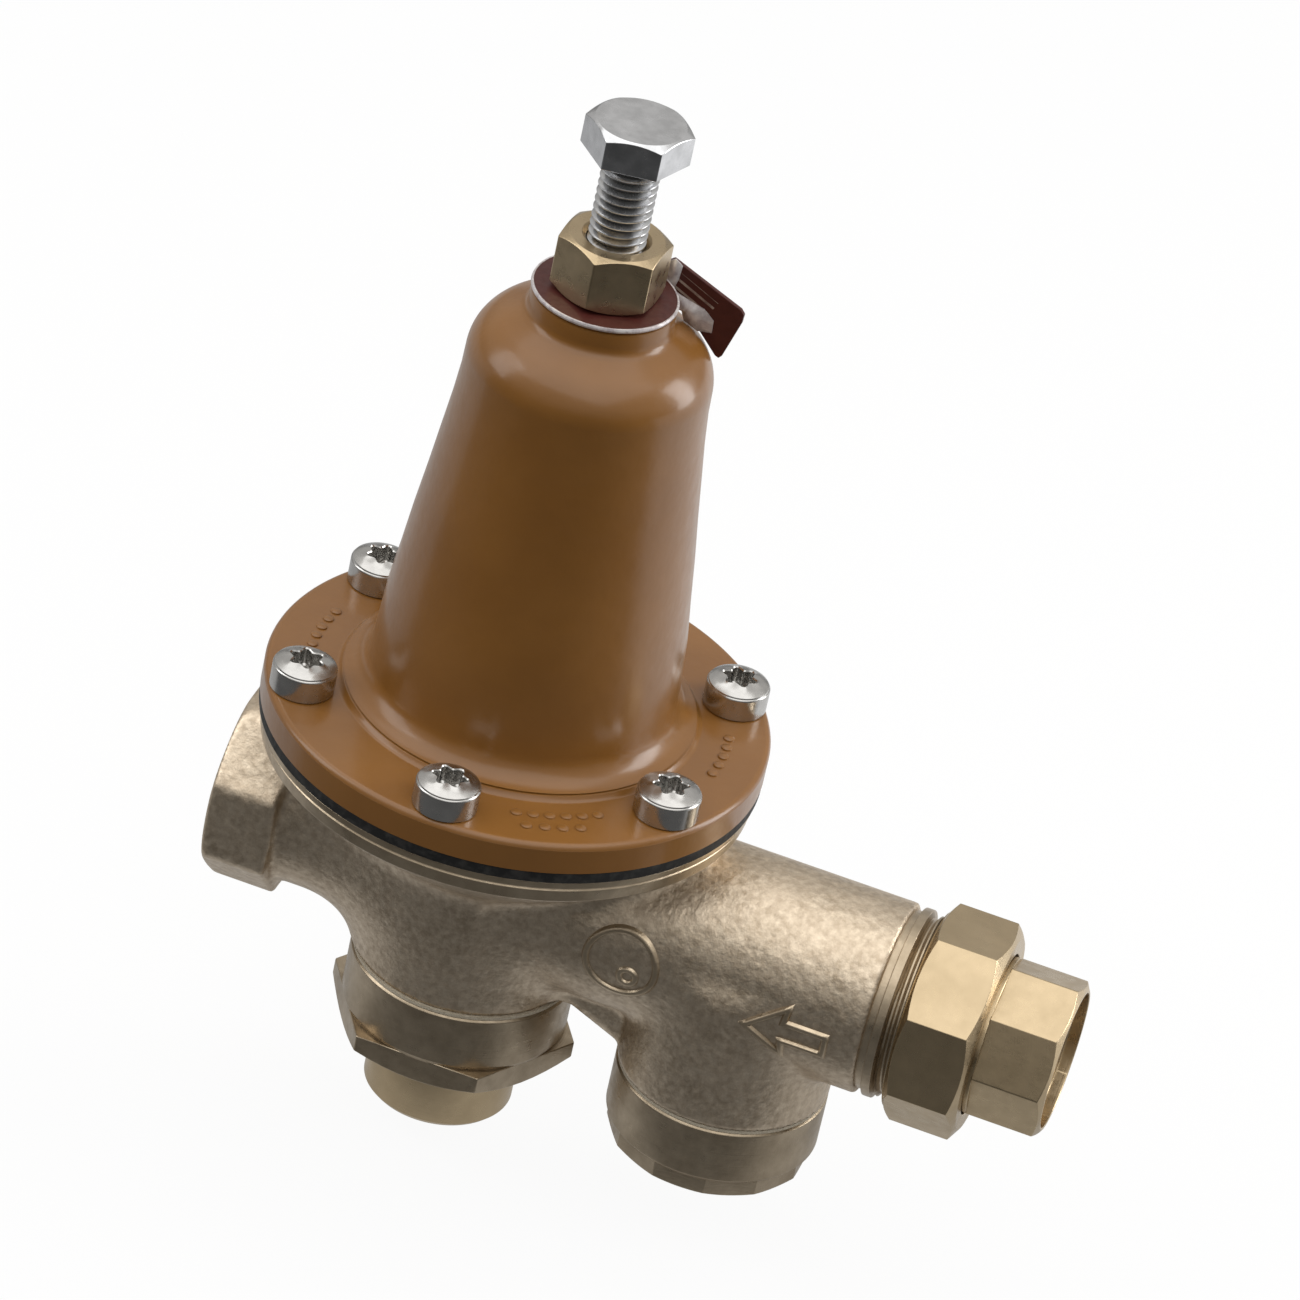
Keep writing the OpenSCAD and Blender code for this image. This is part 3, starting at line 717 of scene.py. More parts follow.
def casting_hollows(x, y, z):
    """The ports, the chambers under the diaphragm, seat and strainer, and the passages between them."""
    pipe_r, stem_r, strainer_r = from_axes(x, y, z)
    seat_low_z, screen_top_z, below = -5, -9.8, -40
    cross_x, cross_z = STEM_X + 12.6, -9.6
    slope = atan2(5.0, STRAINER_X - STEM_X - 25)
    run = (x - cross_x) * cos(slope) - (z - cross_z) * sin(slope)
    lift = (x - cross_x) * sin(slope) + (z - cross_z) * cos(slope)
    hollows = [
        rod(pipe_r, x, -5, PORT_DEPTH, PORT_R + 0.5),  # outlet port
        np.maximum(pipe_r - 12.1 + x * 0.9, x - 1.4),  # its flared mouth
        rod(np.hypot(y, z - 6), x, 12, STEM_X - 10, 5.8),  # passage to the outlet
        rod(pipe_r, x, STRAINER_X - 10, 140, BORE_R),  # inlet
        rod(stem_r, z, 0, 20, 15),  # chamber under the diaphragm
        common(rod(stem_r, z, 13, 40, 30), 13 - z + (stem_r - 15) * 0.47, 0.6),  # and its dish
        rod(stem_r, z, -8, 4, 9.5),  # hole of the seat
        rod(stem_r, z, below, seat_low_z, 14),  # chamber under the seat
        rod(stem_r, z, below, PLUG_Z + 4.9, 15.97),  # hole for the plug
        rod(strainer_r, z, -20, 0, 8.8),  # way into the screen
        rod(strainer_r, z, -20, screen_top_z + 2.4, 10.15),  # socket of the screen
        rod(strainer_r, z, below, screen_top_z, 14.4),  # chamber around the screen
        rod(strainer_r, z, below, CAP_Z + 5.6, 15.57),  # hole for the cap
        rod(np.hypot(y, lift), run, 0, 25, 4.4),  # passage to the seat
    ]
    return np.minimum.reduce(hollows)


def casting(x, y, z):
    return common(casting_outside(x, y, z), -casting_hollows(x, y, z), 0.5)


def net_over(field, low, high, step):
    """Quads over the zero surface of a field, one vertex in each grid cell that the surface crosses."""
    axes = [np.arange(a, b + step, step) for a, b in zip(low, high)]
    grid = np.meshgrid(*axes, indexing="ij")
    value = field(*grid)
    inside = value < 0
    shape = tuple(n - 1 for n in value.shape)
    total = np.zeros(shape + (3,))
    count = np.zeros(shape)
    quads = []
    for axis in range(3):
        first = tuple(slice(0, -1) if a == axis else slice(None) for a in range(3))
        second = tuple(slice(1, None) if a == axis else slice(None) for a in range(3))
        crossed = inside[first] != inside[second]
        share = np.where(crossed, value[first] / (value[first] - value[second] + 1e-30), 0)
        place = np.stack([g[first] for g in grid], -1)
        place[..., axis] += share * step
        others = [a for a in range(3) if a != axis]
        for shift in ((0, 0), (0, 1), (1, 0), (1, 1)):
            part = [slice(None)] * 3
            for a, start in zip(others, shift):
                part[a] = slice(start, shape[a] + start)
            hit = crossed[tuple(part)]
            count += hit
            total += np.where(hit[..., None], place[tuple(part)], 0)
        quads.append((axis, others, crossed, inside[first]))
    used = count > 0
    number = np.full(shape, -1)
    number[used] = np.arange(used.sum())
    verts = total[used] / count[used][:, None]
    faces = []
    for axis, others, crossed, starts_inside in quads:
        at = np.argwhere(crossed)
        on_edge = (at[:, others] == 0) | (at[:, others] >= np.array(shape)[others])
        at = at[~on_edge.any(1)]
        corners = []
        for shift in ((1, 1), (0, 1), (0, 0), (1, 0)):
            cell = at.copy()
            cell[:, others] -= shift
            corners.append(number[tuple(cell.T)])
        quad = np.stack(corners, 1)
        turn = starts_inside[tuple(at.T)] ^ (axis == 1)
        quad[~turn] = quad[~turn][:, ::-1]
        faces.append(quad)
    return verts, np.vstack(faces)


def settled(verts, field, rounds=3, reach=0.4):
    """The vertices moved on to the field's zero surface."""
    probe = 0.05
    for _ in range(rounds):
        rises = [field(*(verts + step).T) - field(*(verts - step).T) for step in probe * np.eye(3)]
        slope = np.stack(rises, -1) / (2 * probe)
        steep = np.maximum((slope**2).sum(-1), 0.2)
        verts = verts - np.clip(field(*verts.T) / steep, -reach, reach)[:, None] * slope
    return verts


def add_casting():
    margin, half_width, grid_step = 1.5, 46, 0.7
    low = (-margin, -half_width, CAP_Z - margin)
    high = (COLLAR_X + margin, half_width, FACE_Z + 1)
    verts, faces = net_over(casting, low, high, grid_step)
    mesh = bpy.data.meshes.new("body_casting")
    mesh.from_pydata(settled(verts, casting) * MM, [], faces)
    mesh.validate()
    mesh.shade_smooth()
    mesh.materials.append(BRONZE)
    made = in_scene("body_casting", mesh)
    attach(made, "valve_body")
    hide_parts("body")


def on_barrel(x, z):
    """The Y of the casting's front surface at each X and Z."""
    outer, inner = np.full(x.shape, -30.0), np.zeros(x.shape)
    halvings = 26
    for _ in range(halvings):
        middle = (outer + inner) / 2
        within = casting_outside(x, middle, z) < 0
        inner = np.where(within, middle, inner)
        outer = np.where(within, outer, middle)
    return outer


def raised_line(path, width, height):
    """Raised line with sloping sides that follows the casting's front; path is a closed loop of (x, z)."""
    path = np.array(path, float)
    ahead = np.roll(path, -1, 0) - path
    ahead /= np.linalg.norm(ahead, axis=1)[:, None]
    behind = np.roll(ahead, 1, 0)
    mitre = ahead + behind
    mitre /= np.linalg.norm(mitre, axis=1)[:, None]
    side = np.stack([-mitre[:, 1], mitre[:, 0]], -1)
    widen = 1 / np.clip((mitre * ahead).sum(1), 0.5, 1)
    profile = ((-0.75, -0.5), (-0.42, 0.75), (-0.2, 1.0), (0.2, 1.0), (0.42, 0.75), (0.75, -0.5))
    rows = []
    for share, lift in profile:
        at = path + side * (share * width * widen)[:, None]
        rows.append(np.stack([at[:, 0], on_barrel(at[:, 0], at[:, 1]) - lift * height, at[:, 1]], -1))
    verts = np.stack(rows, 1)
    return verts.reshape(-1, 3), hoops_joined(*verts.shape[:2])


def along_lines(corners, spacing):
    """Points along the straight sides of a closed loop."""
    made = []
    for i, start in enumerate(corners):
        end = corners[(i + 1) % len(corners)]
        count = max(1, round(dist(start, end) / spacing))
        made += [tuple(np.array(start) + (np.array(end) - start) * k / count) for k in range(count)]
    return made


def add_cast_marks():
    """Arrow of the flow on the inlet barrel, and a plain ring with a boss in it, in a lighter bronze that
    is a painted highlight.
    """
    tip_x, tip_z = STEM_X + 54.5, -1.8
    barb, neck, end = 6.8, 6.4, 14.0
    arrow = [(0, 0), (barb, 4.9), (neck, 2.0), (end, 2.0), (end, -2.0), (neck, -2.0), (barb, -4.9)]
    arrow = along_lines([(tip_x + x, tip_z + z) for x, z in arrow], 0.8)
    ring_x, ring_z = STEM_X + 31, 0.5
    ring = arc((ring_x, ring_z), 6.35, 0, 360, 72)[:-1]
    boss = arc((ring_x + 1.6, ring_z - 2.2), 1.5, 0, 360, 24)[:-1]
    shells = [raised_line(arrow, 1.1, 0.6), raised_line(ring, 1.1, 0.55), raised_line(boss, 1.0, 0.45)]
    add_piece("body_marks", shells, MARK_HIGHLIGHT_BRONZE, "valve_body", ["body"], "cast_bronze", crease=60)


def add_body_faces():
    """The turned faces of the casting: the flange's rim, the union's thread and the outlet's thread."""
    hole_r, top = 30.5, FACE_Z - 0.02
    rim = [(hole_r, FACE_Z - 4.4), (42.9, FACE_Z - 4.4), (43.25, FACE_Z - 2.0), (42.9, FACE_Z - 1.6)]
    rim += [(43.55, FACE_Z - 1.3), (43.6, top), (hole_r, top)]
    ring = at_stem(turned(eased(rim, 0.3), 192))
    add_piece("body_rim", [ring], FACE_BRONZE, "valve_body", ["body"], "cast_bronze")
    stub_x, stub_end_x = COLLAR_X + 2.8, STUB_END_X - 0.02
    groove_r, collar_r = INLET_BARREL_R - 1.1, INLET_BARREL_R - 0.2
    collar = [(BORE_R, COLLAR_X - 1), (groove_r, COLLAR_X - 1), (groove_r, COLLAR_X + 1.2)]
    collar += [(collar_r, COLLAR_X + 1.2), (collar_r, stub_x), (14.9, stub_x + 0.6), (BORE_R, stub_x + 0.6)]
    closure = [(BORE_R, stub_end_x), (BORE_R, stub_x)]
    thread = threaded(15.5, 16.5, PIPE_PITCH, stub_x, stub_end_x, closure, 0.9)
    shells = [lying(turned(eased(collar, 0.25), 128)), lying(thread)]
    add_piece("body_inlet_thread", shells, STUB_BRONZE, "valve_body", ["body"], "cast_bronze")
    outlet = lying(port_thread(1.4, PORT_DEPTH - 0.1))
    add_piece("body_outlet_thread", [outlet], STUB_BRONZE, "valve_body", ["body"], "cast_bronze")


def port_thread(low, high):
    """Sleeve with the pipe thread of a port inside it."""
    root, crest, outside = PORT_R - 0.05, PORT_R - 1.15, PORT_R + 0.62
    return threaded(root, crest, PIPE_PITCH, low, high, [(outside, high), (outside, low)], 1.1)


# ---- Spring cage and screws ----


def cage_outline():
    """Section of the cage: the flange, its raised pad, the bell and the neck, then back down the inside."""
    top = CAGE_Z + FLANGE_T
    pad_r, pad_z = 30.6, top + 1.0
    foot_r, shoulder_r = 27.0, 20.9
    outside = [(FLANGE_R, CAGE_Z + 0.01), (FLANGE_R, top - 1.0)]
    outside += arc((FLANGE_R - 1.2, top - 1.2), 1.2, 10, 90, 5)
    outside += [(pad_r + 1.3, top), (pad_r + 0.9, top + 0.08), (pad_r + 0.5, top + 0.5)]
    outside += [(pad_r + 0.25, pad_z - 0.12), (pad_r - 0.3, pad_z + 0.05)]
    outside += arc((foot_r + 4.3, pad_z + 4.8), 4.6, 262, 178, 10)
    outside += [(26.0, 52), (25.1, 59.5), (24.2, 68), (23.2, 76), (22.3, 84), (21.5, 91), (21.0, 97)]
    outside += arc((shoulder_r - 9, 101), 9, 2, 66, 14)
    outside += [(13.6, 110.3), (12.75, 110.75), (12.35, 111.5), (12.3, 112.4), (12.3, 113.9)]
    outside += [(12.1, 114.7), (11.5, 115.1), (10.9, CAGE_TOP_Z)]
    screw_hole_r, ceiling_z, bore_r = 5.07, 103, 24.0
    inside = [(screw_hole_r, CAGE_TOP_Z), (screw_hole_r, ceiling_z), (14.5, ceiling_z)]
    inside += [(17.4, ceiling_z - 3), (17.4, 92), (bore_r, 42), (bore_r, CAGE_Z + 0.5)]
    inside += [(32.9, CAGE_Z + 0.5), (32.9, CAGE_Z + 0.01)]
    return outside + inside


def pip(x, y, z, radius, height):
    """Small raised round pip on a flat face."""
    dome = [(0, -0.3), (radius * 1.15, -0.3), (radius, height * 0.55), (radius * 0.6, height), (0, height)]
    verts, faces = turned(dome, 16)
    return verts + np.array([x, y, z]), faces


def add_cage():
    """The cage, with rows of plain pips on its flange, each given by middle angle, radius and count."""
    shells = [at_stem(turned(cage_outline(), 240))]
    spacing = 4.6
    for middle, reach, count in ((-60, 35.4, 6), (-62, 38.8, 4), (4, 36.6, 5), (180, 36.6, 5)):
        for k in range(count):
            towards = radians(middle + (k - (count - 1) / 2) * spacing)
            x, y = STEM_X + reach * cos(towards), reach * sin(towards)
            shells.append(pip(x, y, CAGE_Z + FLANGE_T, 0.95, 0.42))
    add_piece("cage_shell", shells, PAINT, "valve_body", ["spring_cage"], "cage_paint", crease=38)


def lobed_screw(head_r, flange_z):
    """Pan head screw with a six-lobed socket."""
    head_h, dome, socket_h = 5.8, 1.25, 3.4
    shank_r, tip_z = 2.9, flange_z - 12.8
    top, floor_z = flange_z + head_h, flange_z + head_h - socket_h
    crown = [(head_r * s, top - dome * s**3.2) for s in (0.66, 0.77, 0.87, 0.94)]
    head = crown + arc((head_r - 0.45, top - dome - 0.42), 0.45, 62, 0, 4)
    head += [(head_r, flange_z + 0.25), (head_r - 0.25, flange_z + 0.01)]
    shank = [(shank_r, flange_z), (shank_r, tip_z + 0.6), (shank_r - 0.6, tip_z), (0, tip_z)]
    angles = np.linspace(0, 2 * pi, 96, endpoint=False)
    outlines = []
    for a in angles:
        lobe = 2.60 + 0.46 * cos(6 * a)
        socket = [(0, floor_z), (lobe * 0.9, floor_z), (lobe, floor_z + 0.3)]
        socket += [(lobe, top - 0.22), (lobe + 0.2, top)]
        outlines.append(socket + head + shank)
    return swept(outlines, angles)


def add_cage_screws():
    low, high = cad_box("cage_screws")
    count, head_r = 6, 5.6
    circle_r = (high[1] - low[1]) / 2 - head_r
    shells = []
    for k in range(count):
        spin = Matrix.Rotation(radians(17 * k), 4, "Z")
        towards = radians(30 + 360 / count * k)
        place = Matrix.Translation((STEM_X + circle_r * cos(towards), circle_r * sin(towards), 0))
        shells.append(moved(lobed_screw(head_r, CAGE_Z + FLANGE_T + 0.01), place @ spin))
    add_piece("cage_screw_set", shells, SCREW_STEEL, "valve_body", ["cage_screws"], "stainless")


def add_adjusting_screw():
    low, high = cad_box("adjusting_screw")
    root, crest, pitch, flats = 3.95, 4.97, 1.5, 16.0
    thread_z = HEAD_Z - 1.2
    thread = threaded(root, crest, pitch, low[2], thread_z, [(0, thread_z), (0, low[2])], 0.9)
    neck_r, neck_z = 4.75, (HEAD_Z - 1.4, HEAD_Z + 0.3)
    outline = [(0, neck_z[0]), (neck_r, neck_z[0]), (neck_r, neck_z[1]), (0, neck_z[1])]
    neck = turned(eased(outline, 0.1), 72)
    washer_z = HEAD_Z + 0.35
    inside = [(0, high[2]), (0, HEAD_Z), (7.3, HEAD_Z), (7.5, washer_z)]
    head = spanner_shape(6, flats, washer_z, high[2], inside, 11, (False, True))
    shells = [at_stem(shell) for shell in (thread, neck, head)]
    add_piece("adjusting_screw_full", shells, ZINC_DARK_IN_ROOTS, "screw", ["adjusting_screw"], "zinc_steel")


def add_locknut():
    low, high = cad_box("locknut")
    flats, hole_r, mouth_r = 17.0, 5.12, 5.9
    inside = [(mouth_r, high[2]), (hole_r, high[2] - 0.8), (hole_r, low[2] + 0.8), (mouth_r, low[2])]
    shell = spanner_shape(6, flats, low[2], high[2], inside, 27, corner=0.4)
    add_piece("locknut_full", [at_stem(shell)], LOCKNUT_BRASS, "nut", ["locknut"], "brass")


# ---- Tag ----


def tag_print():
    """Maroon enamel on both sides, with plain pale bars across the front of the plate."""
    look = Look("tag_print", Coat_Weight=0.1, Coat_Roughness=0.3, Specular_IOR_Level=0.3)
    x, y, z = look.parts(look.coords)
    x = look.maths("SUBTRACT", x, (STEM_X + 7.5) * MM)
    z = look.maths("SUBTRACT", z, (CAGE_TOP_Z + 4.7) * MM)
    slope, bar_spacing = radians(25), 1.5 * MM

    def weighed(x_share, z_share):
        return look.maths("ADD", look.maths("MULTIPLY", x, x_share), look.maths("MULTIPLY", z, z_share))

    along = weighed(cos(slope), -sin(slope))
    down = weighed(-sin(slope), -cos(slope))
    rows = look.maths("FRACT", look.maths("MULTIPLY", down, 1 / bar_spacing))
    bars = 1.0
    limits = [(rows, 0.35, 0.65), (along, 1.4 * MM, 10.8 * MM)]
    limits += [(down, 0.9 * MM, 4.6 * MM), (y, 9.9 * MM, 10.3 * MM)]
    for value, low, high in limits:
        bars = look.maths("MULTIPLY", bars, look.maths("GREATER_THAN", value, low))
        bars = look.maths("MULTIPLY", bars, look.maths("LESS_THAN", value, high))
    worn = look.stretch(look.noise(2.5, 3.0), 0.38, 0.62, 0.35, 0.9)
    maroon = look.blend(look.noise(1.5), (0.045, 0.009, 0.007), (0.085, 0.020, 0.015))
    look.colour(look.maths("MULTIPLY", bars, worn), maroon, (0.40, 0.32, 0.27))
    look.roughness(1.0, 0.38, 0.55)
    look.bumps(0.9, 0.02)
    return look.material


def add_tag():
    """Ring under the locknut with a bent-up plate.

    The enamel leaves bare metal at the rim of the ring, at the bend and along a scuff in front.
    """
    sheet, base_z = 0.8, CAGE_TOP_Z + 0.1
    hole_r, ring_r, top_z = 5.3, 12.1, base_z + sheet
    ring = [(hole_r, base_z + 0.05), (ring_r - 0.2, base_z + 0.05), (ring_r, base_z + 0.2)]
    ring += [(ring_r, top_z), (hole_r, top_z)]
    outline = [(5.4, 0.3), (5.4, 2.6), (8.0, 4.7), (20.9, -0.6), (21.6, -1.4), (21.5, -3.0)]
    outline += [(19.4, -10.2), (18.9, -10.8), (18.2, -10.5), (14.2, -6.4)]
    outline += [(9.6, -3.3), (8.6, -1.9), (7.9, 0)]
    upright = Matrix.Rotation(radians(90), 4, "X")
    plate_place = Matrix.Translation((0, 10.9, base_z)) @ upright
    shells = [turned(eased(ring, 0.12), 128), moved(plate(outline, sheet), plate_place)]
    painted = [at_stem(shell) for shell in shells]
    add_piece("tag_plate", painted, tag_print(), "tag", ["id_tag"], "tag_red", bevel=0.12)
    rim = [(12.05, base_z), (12.4, base_z + 0.05), (12.5, base_z + 0.4)]
    rim += [(12.35, top_z + 0.02), (12.05, top_z)]
    scuffed = [(7.7, -0.6), (9.9, -1.3), (13.5, -2.3), (14.8, -2.6), (16.8, -4.2)]
    scuffed += [(16.9, -6.5), (14.4, -7.0), (11.8, -5.9), (11.1, -4.3), (9.0, -3.9), (7.3, -3.1)]
    corner = [(7.4, 4.2), (8.3, 4.8), (9.7, 3.9), (9.5, 1.2), (8.9, -1.2), (7.4, -0.9)]
    front_place = Matrix.Translation((0, 10.2, base_z)) @ upright
    shells = [turned(eased(rim, 0.08), 128)]
    shells += [moved(dished(patch, 0.25, 0.7), front_place) for patch in (scuffed, corner)]
    bare = [at_stem(shell) for shell in shells]
    add_piece("tag_wing", bare, BARE_SHEET, "tag", ["id_tag"], "tag_red", crease=50)


# ---- Plug, cap and union ----


def add_plug():
    """Hexagon plug: a turned band and skirt, hollow for the stem, with a bright round boss below."""
    low, high = cad_box("bottom_plug")
    band_low, hex_low, top = -31.2, -36.5, PLUG_Z - 0.62
    boss_r, band_r, skirt_r = 13.3, 20.1, 15.9
    bore_r, bore_z, hole_r, hole_z = 12.2, -29, 4.62, -44.5
    body = [(0, low[2] + 0.7), (12.8, low[2] + 0.7), (12.8, hex_low + 0.3), (14.0, hex_low + 0.6)]
    body += [(14.0, band_low), (band_r - 0.4, band_low - 0.3), (band_r, band_low + 0.6)]
    body += [(band_r, top - 0.5), (band_r - 0.5, top), (skirt_r, top), (skirt_r, high[2] - 0.6)]
    body += [(skirt_r - 0.6, high[2]), (bore_r, high[2]), (bore_r, bore_z)]
    body += [(hole_r, bore_z), (hole_r, hole_z), (0, hole_z)]
    flats, hex_top = 39.3, band_low + 0.1
    inside = [(boss_r, hex_top), (boss_r, hex_low)]
    hexagon = spanner_shape(6, flats, hex_low, hex_top, inside, 0, (True, False), corner=0.5, ease=0.3)
    shells = [at_stem(turned(eased(body, 0.3))), at_stem(hexagon)]
    add_piece("plug_full", shells, PLUG_BRONZE, "plug", ["bottom_plug"], "turned_bronze")
    boss_top = hex_low + 0.4
    boss = [(0, low[2]), (boss_r - 0.9, low[2]), (boss_r, low[2] + 1.0), (boss_r, boss_top)]
    boss += [(boss_r - 0.4, boss_top), (boss_r - 0.4, low[2] + 0.6), (0, low[2] + 0.6)]
    sleeve = at_stem(turned(eased(boss, 0.25)))
    add_piece("plug_boss", [sleeve], LOCKNUT_BRASS, "plug", ["bottom_plug"], "turned_bronze")


def add_cap():
    """Strainer cap: a turned band and skirt that holds the screen, on a foot with twelve flats."""
    low, high = cad_box("strainer_cap")
    foot_z, top = low[2] + 4.1, CAP_Z - 0.62
    band_r, skirt_r, bore_r = 18.9, 15.5, 13
    screen_r, screen_z = 10.15, cad_box("strainer_screen")[0][2]
    band = [(0, foot_z - 0.4), (band_r - 0.9, foot_z - 0.4), (band_r, foot_z + 0.6), (band_r, top - 0.5)]
    band += [(band_r - 0.5, top), (skirt_r, top), (skirt_r, high[2] - 0.6), (skirt_r - 0.6, high[2])]
    band += [(bore_r, high[2]), (bore_r, screen_z + 1.2), (screen_r, screen_z + 1.2)]
    band += [(screen_r, screen_z - 0.02), (0, screen_z - 0.02)]
    flats = 2 * 18.1 * cos(pi / 12)
    inside = [(0, foot_z), (0, low[2])]
    foot = spanner_shape(12, flats, low[2], foot_z, inside, 15, (True, False), corner=0.5, ease=0.3)
    shells = [at_strainer(turned(eased(band, 0.3))), at_strainer(foot)]
    add_piece("cap_full", shells, CAP_BRONZE, "cap", ["strainer_cap"], "turned_bronze")


def add_union():
    """Eight-sided union nut, and the tailpiece it pulls in: a flanged stem with an eight-sided hub."""
    sides, hub_x, shoulder = 8, NUT_END_X + 0.6, NUT_END_X - 3
    wall_r, mouth_r, neck_hole_r = 16.62, 17.62, 14.55
    inside = [(neck_hole_r, NUT_END_X), (neck_hole_r, shoulder), (wall_r, shoulder)]
    inside += [(wall_r, NUT_X + 1.2), (mouth_r, NUT_X)]
    flats = 2 * 19.7 * cos(pi / sides)
    nut = spanner_shape(sides, flats, NUT_X, NUT_END_X, inside, 90 - 28.3, corner=0.4)
    add_piece("union_nut_full", [lying(nut)], UNION_BRASS, "ring_nut", ["union_nut"], "brass")
    low = cad_box("union_tailpiece")[0]
    flange_r, neck_r, core_r = 16.2, 14.1, 11.0
    port_x, flange_x = INLET_X - PORT_DEPTH, shoulder - 0.03
    stem = [(BORE_R, low[0]), (flange_r, low[0]), (flange_r, flange_x), (neck_r, flange_x)]
    stem += [(neck_r, hub_x + 0.2), (core_r, hub_x + 0.2), (core_r, port_x), (BORE_R, port_x)]
    hub_flats = 2 * 14.4 * cos(pi / sides)
    mouth_x, port_wall_r = INLET_X - 2.2, PORT_R + 0.55
    inside = [(12.2, INLET_X), (12.2, mouth_x), (port_wall_r, mouth_x), (port_wall_r, hub_x)]
    hub = spanner_shape(sides, hub_flats, hub_x, INLET_X, inside, 90, (False, True), corner=0.5)
    thread = port_thread(port_x, mouth_x - 0.05)
    shells = [lying(turned(eased(stem, 0.25))), lying(hub), lying(thread)]
    add_piece("tailpiece_full", shells, UNION_BRASS, "tailpiece", ["union_tailpiece"], "brass")


# ---- Inside ----


def wedge(outline, middle, width, steps=10):
    """Sector of a turned shape, width degrees wide about the angle middle."""
    angles = np.radians(np.linspace(middle - width / 2, middle + width / 2, steps + 1))
    radius, height = np.array(outline, float).T
    rows = len(radius)
    faces = hoops_joined(steps + 1, rows, closed=False)
    for base in (0, steps * rows):
        for j in range(rows // 2 - 1):
            faces.append((base + j, base + j + 1, base + rows - 2 - j, base + rows - 1 - j))
    return around_z(radius, angles[:, None], height).reshape(-1, 3), faces


def add_blended(name, shell, material, node, crease=32):
    """Add a piece in place of a CAD node, with its place baked into its mesh."""
    piece = new_object(name, [at_stem(shell)], material, crease=crease)
    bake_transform(piece)
    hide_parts(node)


def add_diaphragm():
    """Rubber disc: its edge is clamped in the body, and its middle is made in sectors."""
    clamp_r, plate_r, hole_r, outer_r = 31.5, 25.0, 3.02, FLANGE_R - 0.1
    edge = [(clamp_r, FACE_Z), (outer_r, FACE_Z), (outer_r, CAGE_Z), (clamp_r, CAGE_Z)]
    ring = at_stem(turned(eased(edge, 0.4), 192))
    add_piece("diaphragm_rim", [ring], RUBBER, "valve_body", ["diaphragm"], "rubber")
    radii = np.concatenate([[hole_r, 14.0], np.linspace(plate_r - 1.5, clamp_r - 0.01, 10)])
    outline = [(r, FACE_Z) for r in radii] + [(r, CAGE_Z) for r in radii[::-1]]
    count = 12
    for k in range(count):
        middle, width = 360 / count * k, 360 / count
        sector = wedge(outline, middle, width)
        add_blended(f"diaphragm_{k + 1:02d}", sector, RUBBER, "diaphragm")


def add_spring():
    """The spring, made in two halves: the foot half and the top half."""
    spring = "adjusting_spring"
    low, high = cad_box(spring)
    wire, radius, open_turns = 1.9, 13.2, 6
    halves = (("lower", "stem", (0, 0.5), low[2]), ("upper", "screw_button", (0.5, 1), high[2]))
    for name, body, part, end_z in halves:
        shell = coil(wire, radius, low[2], high[2], open_turns, part)
        add_blended(f"spring_{name}", shell, SPRING_STEEL, spring, crease=50)


def paint_kept_nodes():
    """Finishes of the CAD nodes that are shown as they are."""
    finishes = {
        FIBRE: ["seat_gasket", "plug_gasket", "cap_gasket", "union_gasket"],
        PLASTIC: ["slip_ring", "guide_bush"],
        STAINLESS: ["seat_ring", "stem_nut", "valve_stem", "disc_retainer", "strainer_screen"],
        ZINC: ["spring_button", "upper_plate"],
        LOCKNUT_BRASS: ["lower_plate", "disc_holder"],
        RUBBER: ["valve_disc"],
    }
    for finish, nodes in finishes.items():
        for node in nodes:
            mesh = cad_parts[node].data
            mesh.materials.clear()
            mesh.materials.append(finish)


# ---- Stage ----


def add_camera():
    """Long lens that looks down on the valve from the front left, rolled so that the valve leans right."""
    turn, lift, roll = radians(11.67), radians(32.61), radians(12.62)
    target = Vector((STEM_X + 20.52, 0, 51.8)) * MM
    away = 1231.4 * MM
    back = Vector((sin(turn) * cos(lift), -cos(turn) * cos(lift), sin(lift)))
    level = Vector((cos(turn), sin(turn), 0))
    up = back.cross(level)
    right = level * cos(roll) + up * sin(roll)
    top = up * cos(roll) - level * sin(roll)
    axes = Matrix((right, top, back)).transposed().to_4x4()
    camera = in_scene("camera", bpy.data.cameras.new("camera"))
    camera.matrix_world = Matrix.Translation(target + back * away) @ axes
    camera.data.sensor_width = 36
    camera.data.lens = 201.4
    camera.data.clip_start = 0.05
    camera.data.clip_end = 20
    bpy.context.scene.camera = camera


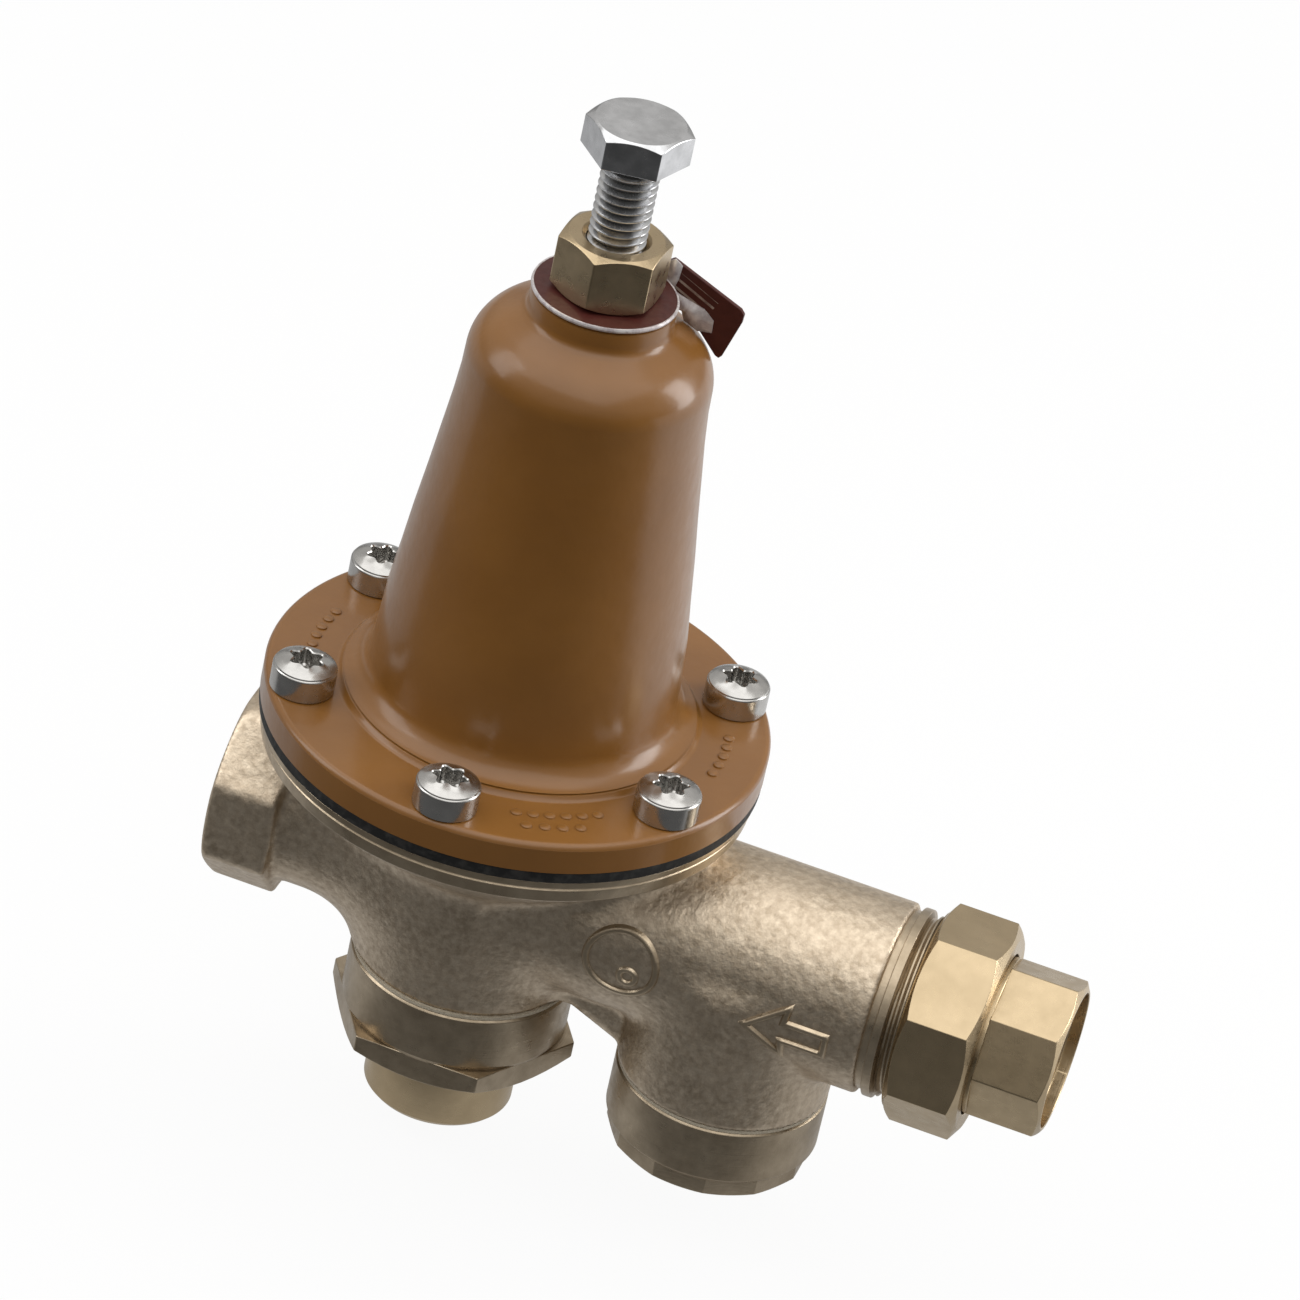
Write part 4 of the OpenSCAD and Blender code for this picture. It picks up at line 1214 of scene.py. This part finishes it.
def add_light(name, place, target, size, watts):
    """Soft rectangular lamp that is turned towards the target, with its lengths in metres."""
    lamp = bpy.data.lights.new(name, "AREA")
    lamp.shape = "RECTANGLE"
    lamp.size, lamp.size_y = size
    lamp.energy = watts
    light = in_scene(name, lamp)
    towards = Vector(target) - Vector(place)
    light.location = place
    light.rotation_euler = towards.to_track_quat("-Z", "Y").to_euler()


def add_stage():
    """Floor, low enough that the cap clears it when it is unscrewed, and soft lights."""
    cap_drop = 7.0 * MM
    floor_z = cad_bounds[0][2] - cap_drop - 0.2 * MM
    half = 4.0
    corners = [(x * half, y * half, floor_z) for x, y in ((-1, -1), (1, -1), (1, 1), (-1, 1))]
    mesh = bpy.data.meshes.new("floor")
    mesh.from_pydata(corners, [], [(0, 1, 2, 3)])
    mesh.materials.append(plain_floor())
    in_scene("floor", mesh)
    middle = (0.07, 0, 0.05)
    add_light("top", (0.02, -0.22, 1.05), middle, (1.9, 1.5), 8.3)
    add_light("left", (-0.95, -0.25, 0.55), middle, (0.5, 0.8), 3)
    add_light("right", (0.95, 0.45, 0.40), middle, (0.4, 0.8), 6)
    add_world()


def add_world():
    """Dim room that is lighter overhead and behind; the camera sees white instead."""
    world = bpy.data.worlds.new("studio")
    world.use_nodes = True
    sky = Nodes(world.node_tree, "Generated")
    parts = sky.parts(sky.coords)
    light = 0.04
    for axis, low, high, most in ((2, 0.0, 0.3, 0.42), (2, 0.5, 0.85, 0.30), (1, -0.25, 0.6, 0.12)):
        light = sky.maths("ADD", light, sky.stretch(parts[axis], low, high, 0.0, most))
    room = sky.tree.nodes["Background"]
    sky.join((1.0, 0.98, 0.95, 1.0), room.inputs["Color"])
    sky.join(light, room.inputs["Strength"])
    white = sky.node("ShaderNodeBackground", Color=(1.0, 1.0, 1.0, 1.0))
    seen = sky.node("ShaderNodeLightPath").outputs["Is Camera Ray"]
    shown = sky.mixed(seen, room.outputs[0], white.outputs[0])
    sky.join(shown, sky.tree.nodes["World Output"].inputs["Surface"])
    bpy.context.scene.world = world
    bpy.context.scene.view_settings.view_transform = "Standard"


add_camera()
add_casting()
add_cast_marks()
add_body_faces()
add_cage()
add_cage_screws()
add_adjusting_screw()
add_locknut()
add_tag()
add_plug()
add_cap()
add_union()
add_diaphragm()
add_spring()
paint_kept_nodes()
add_stage()
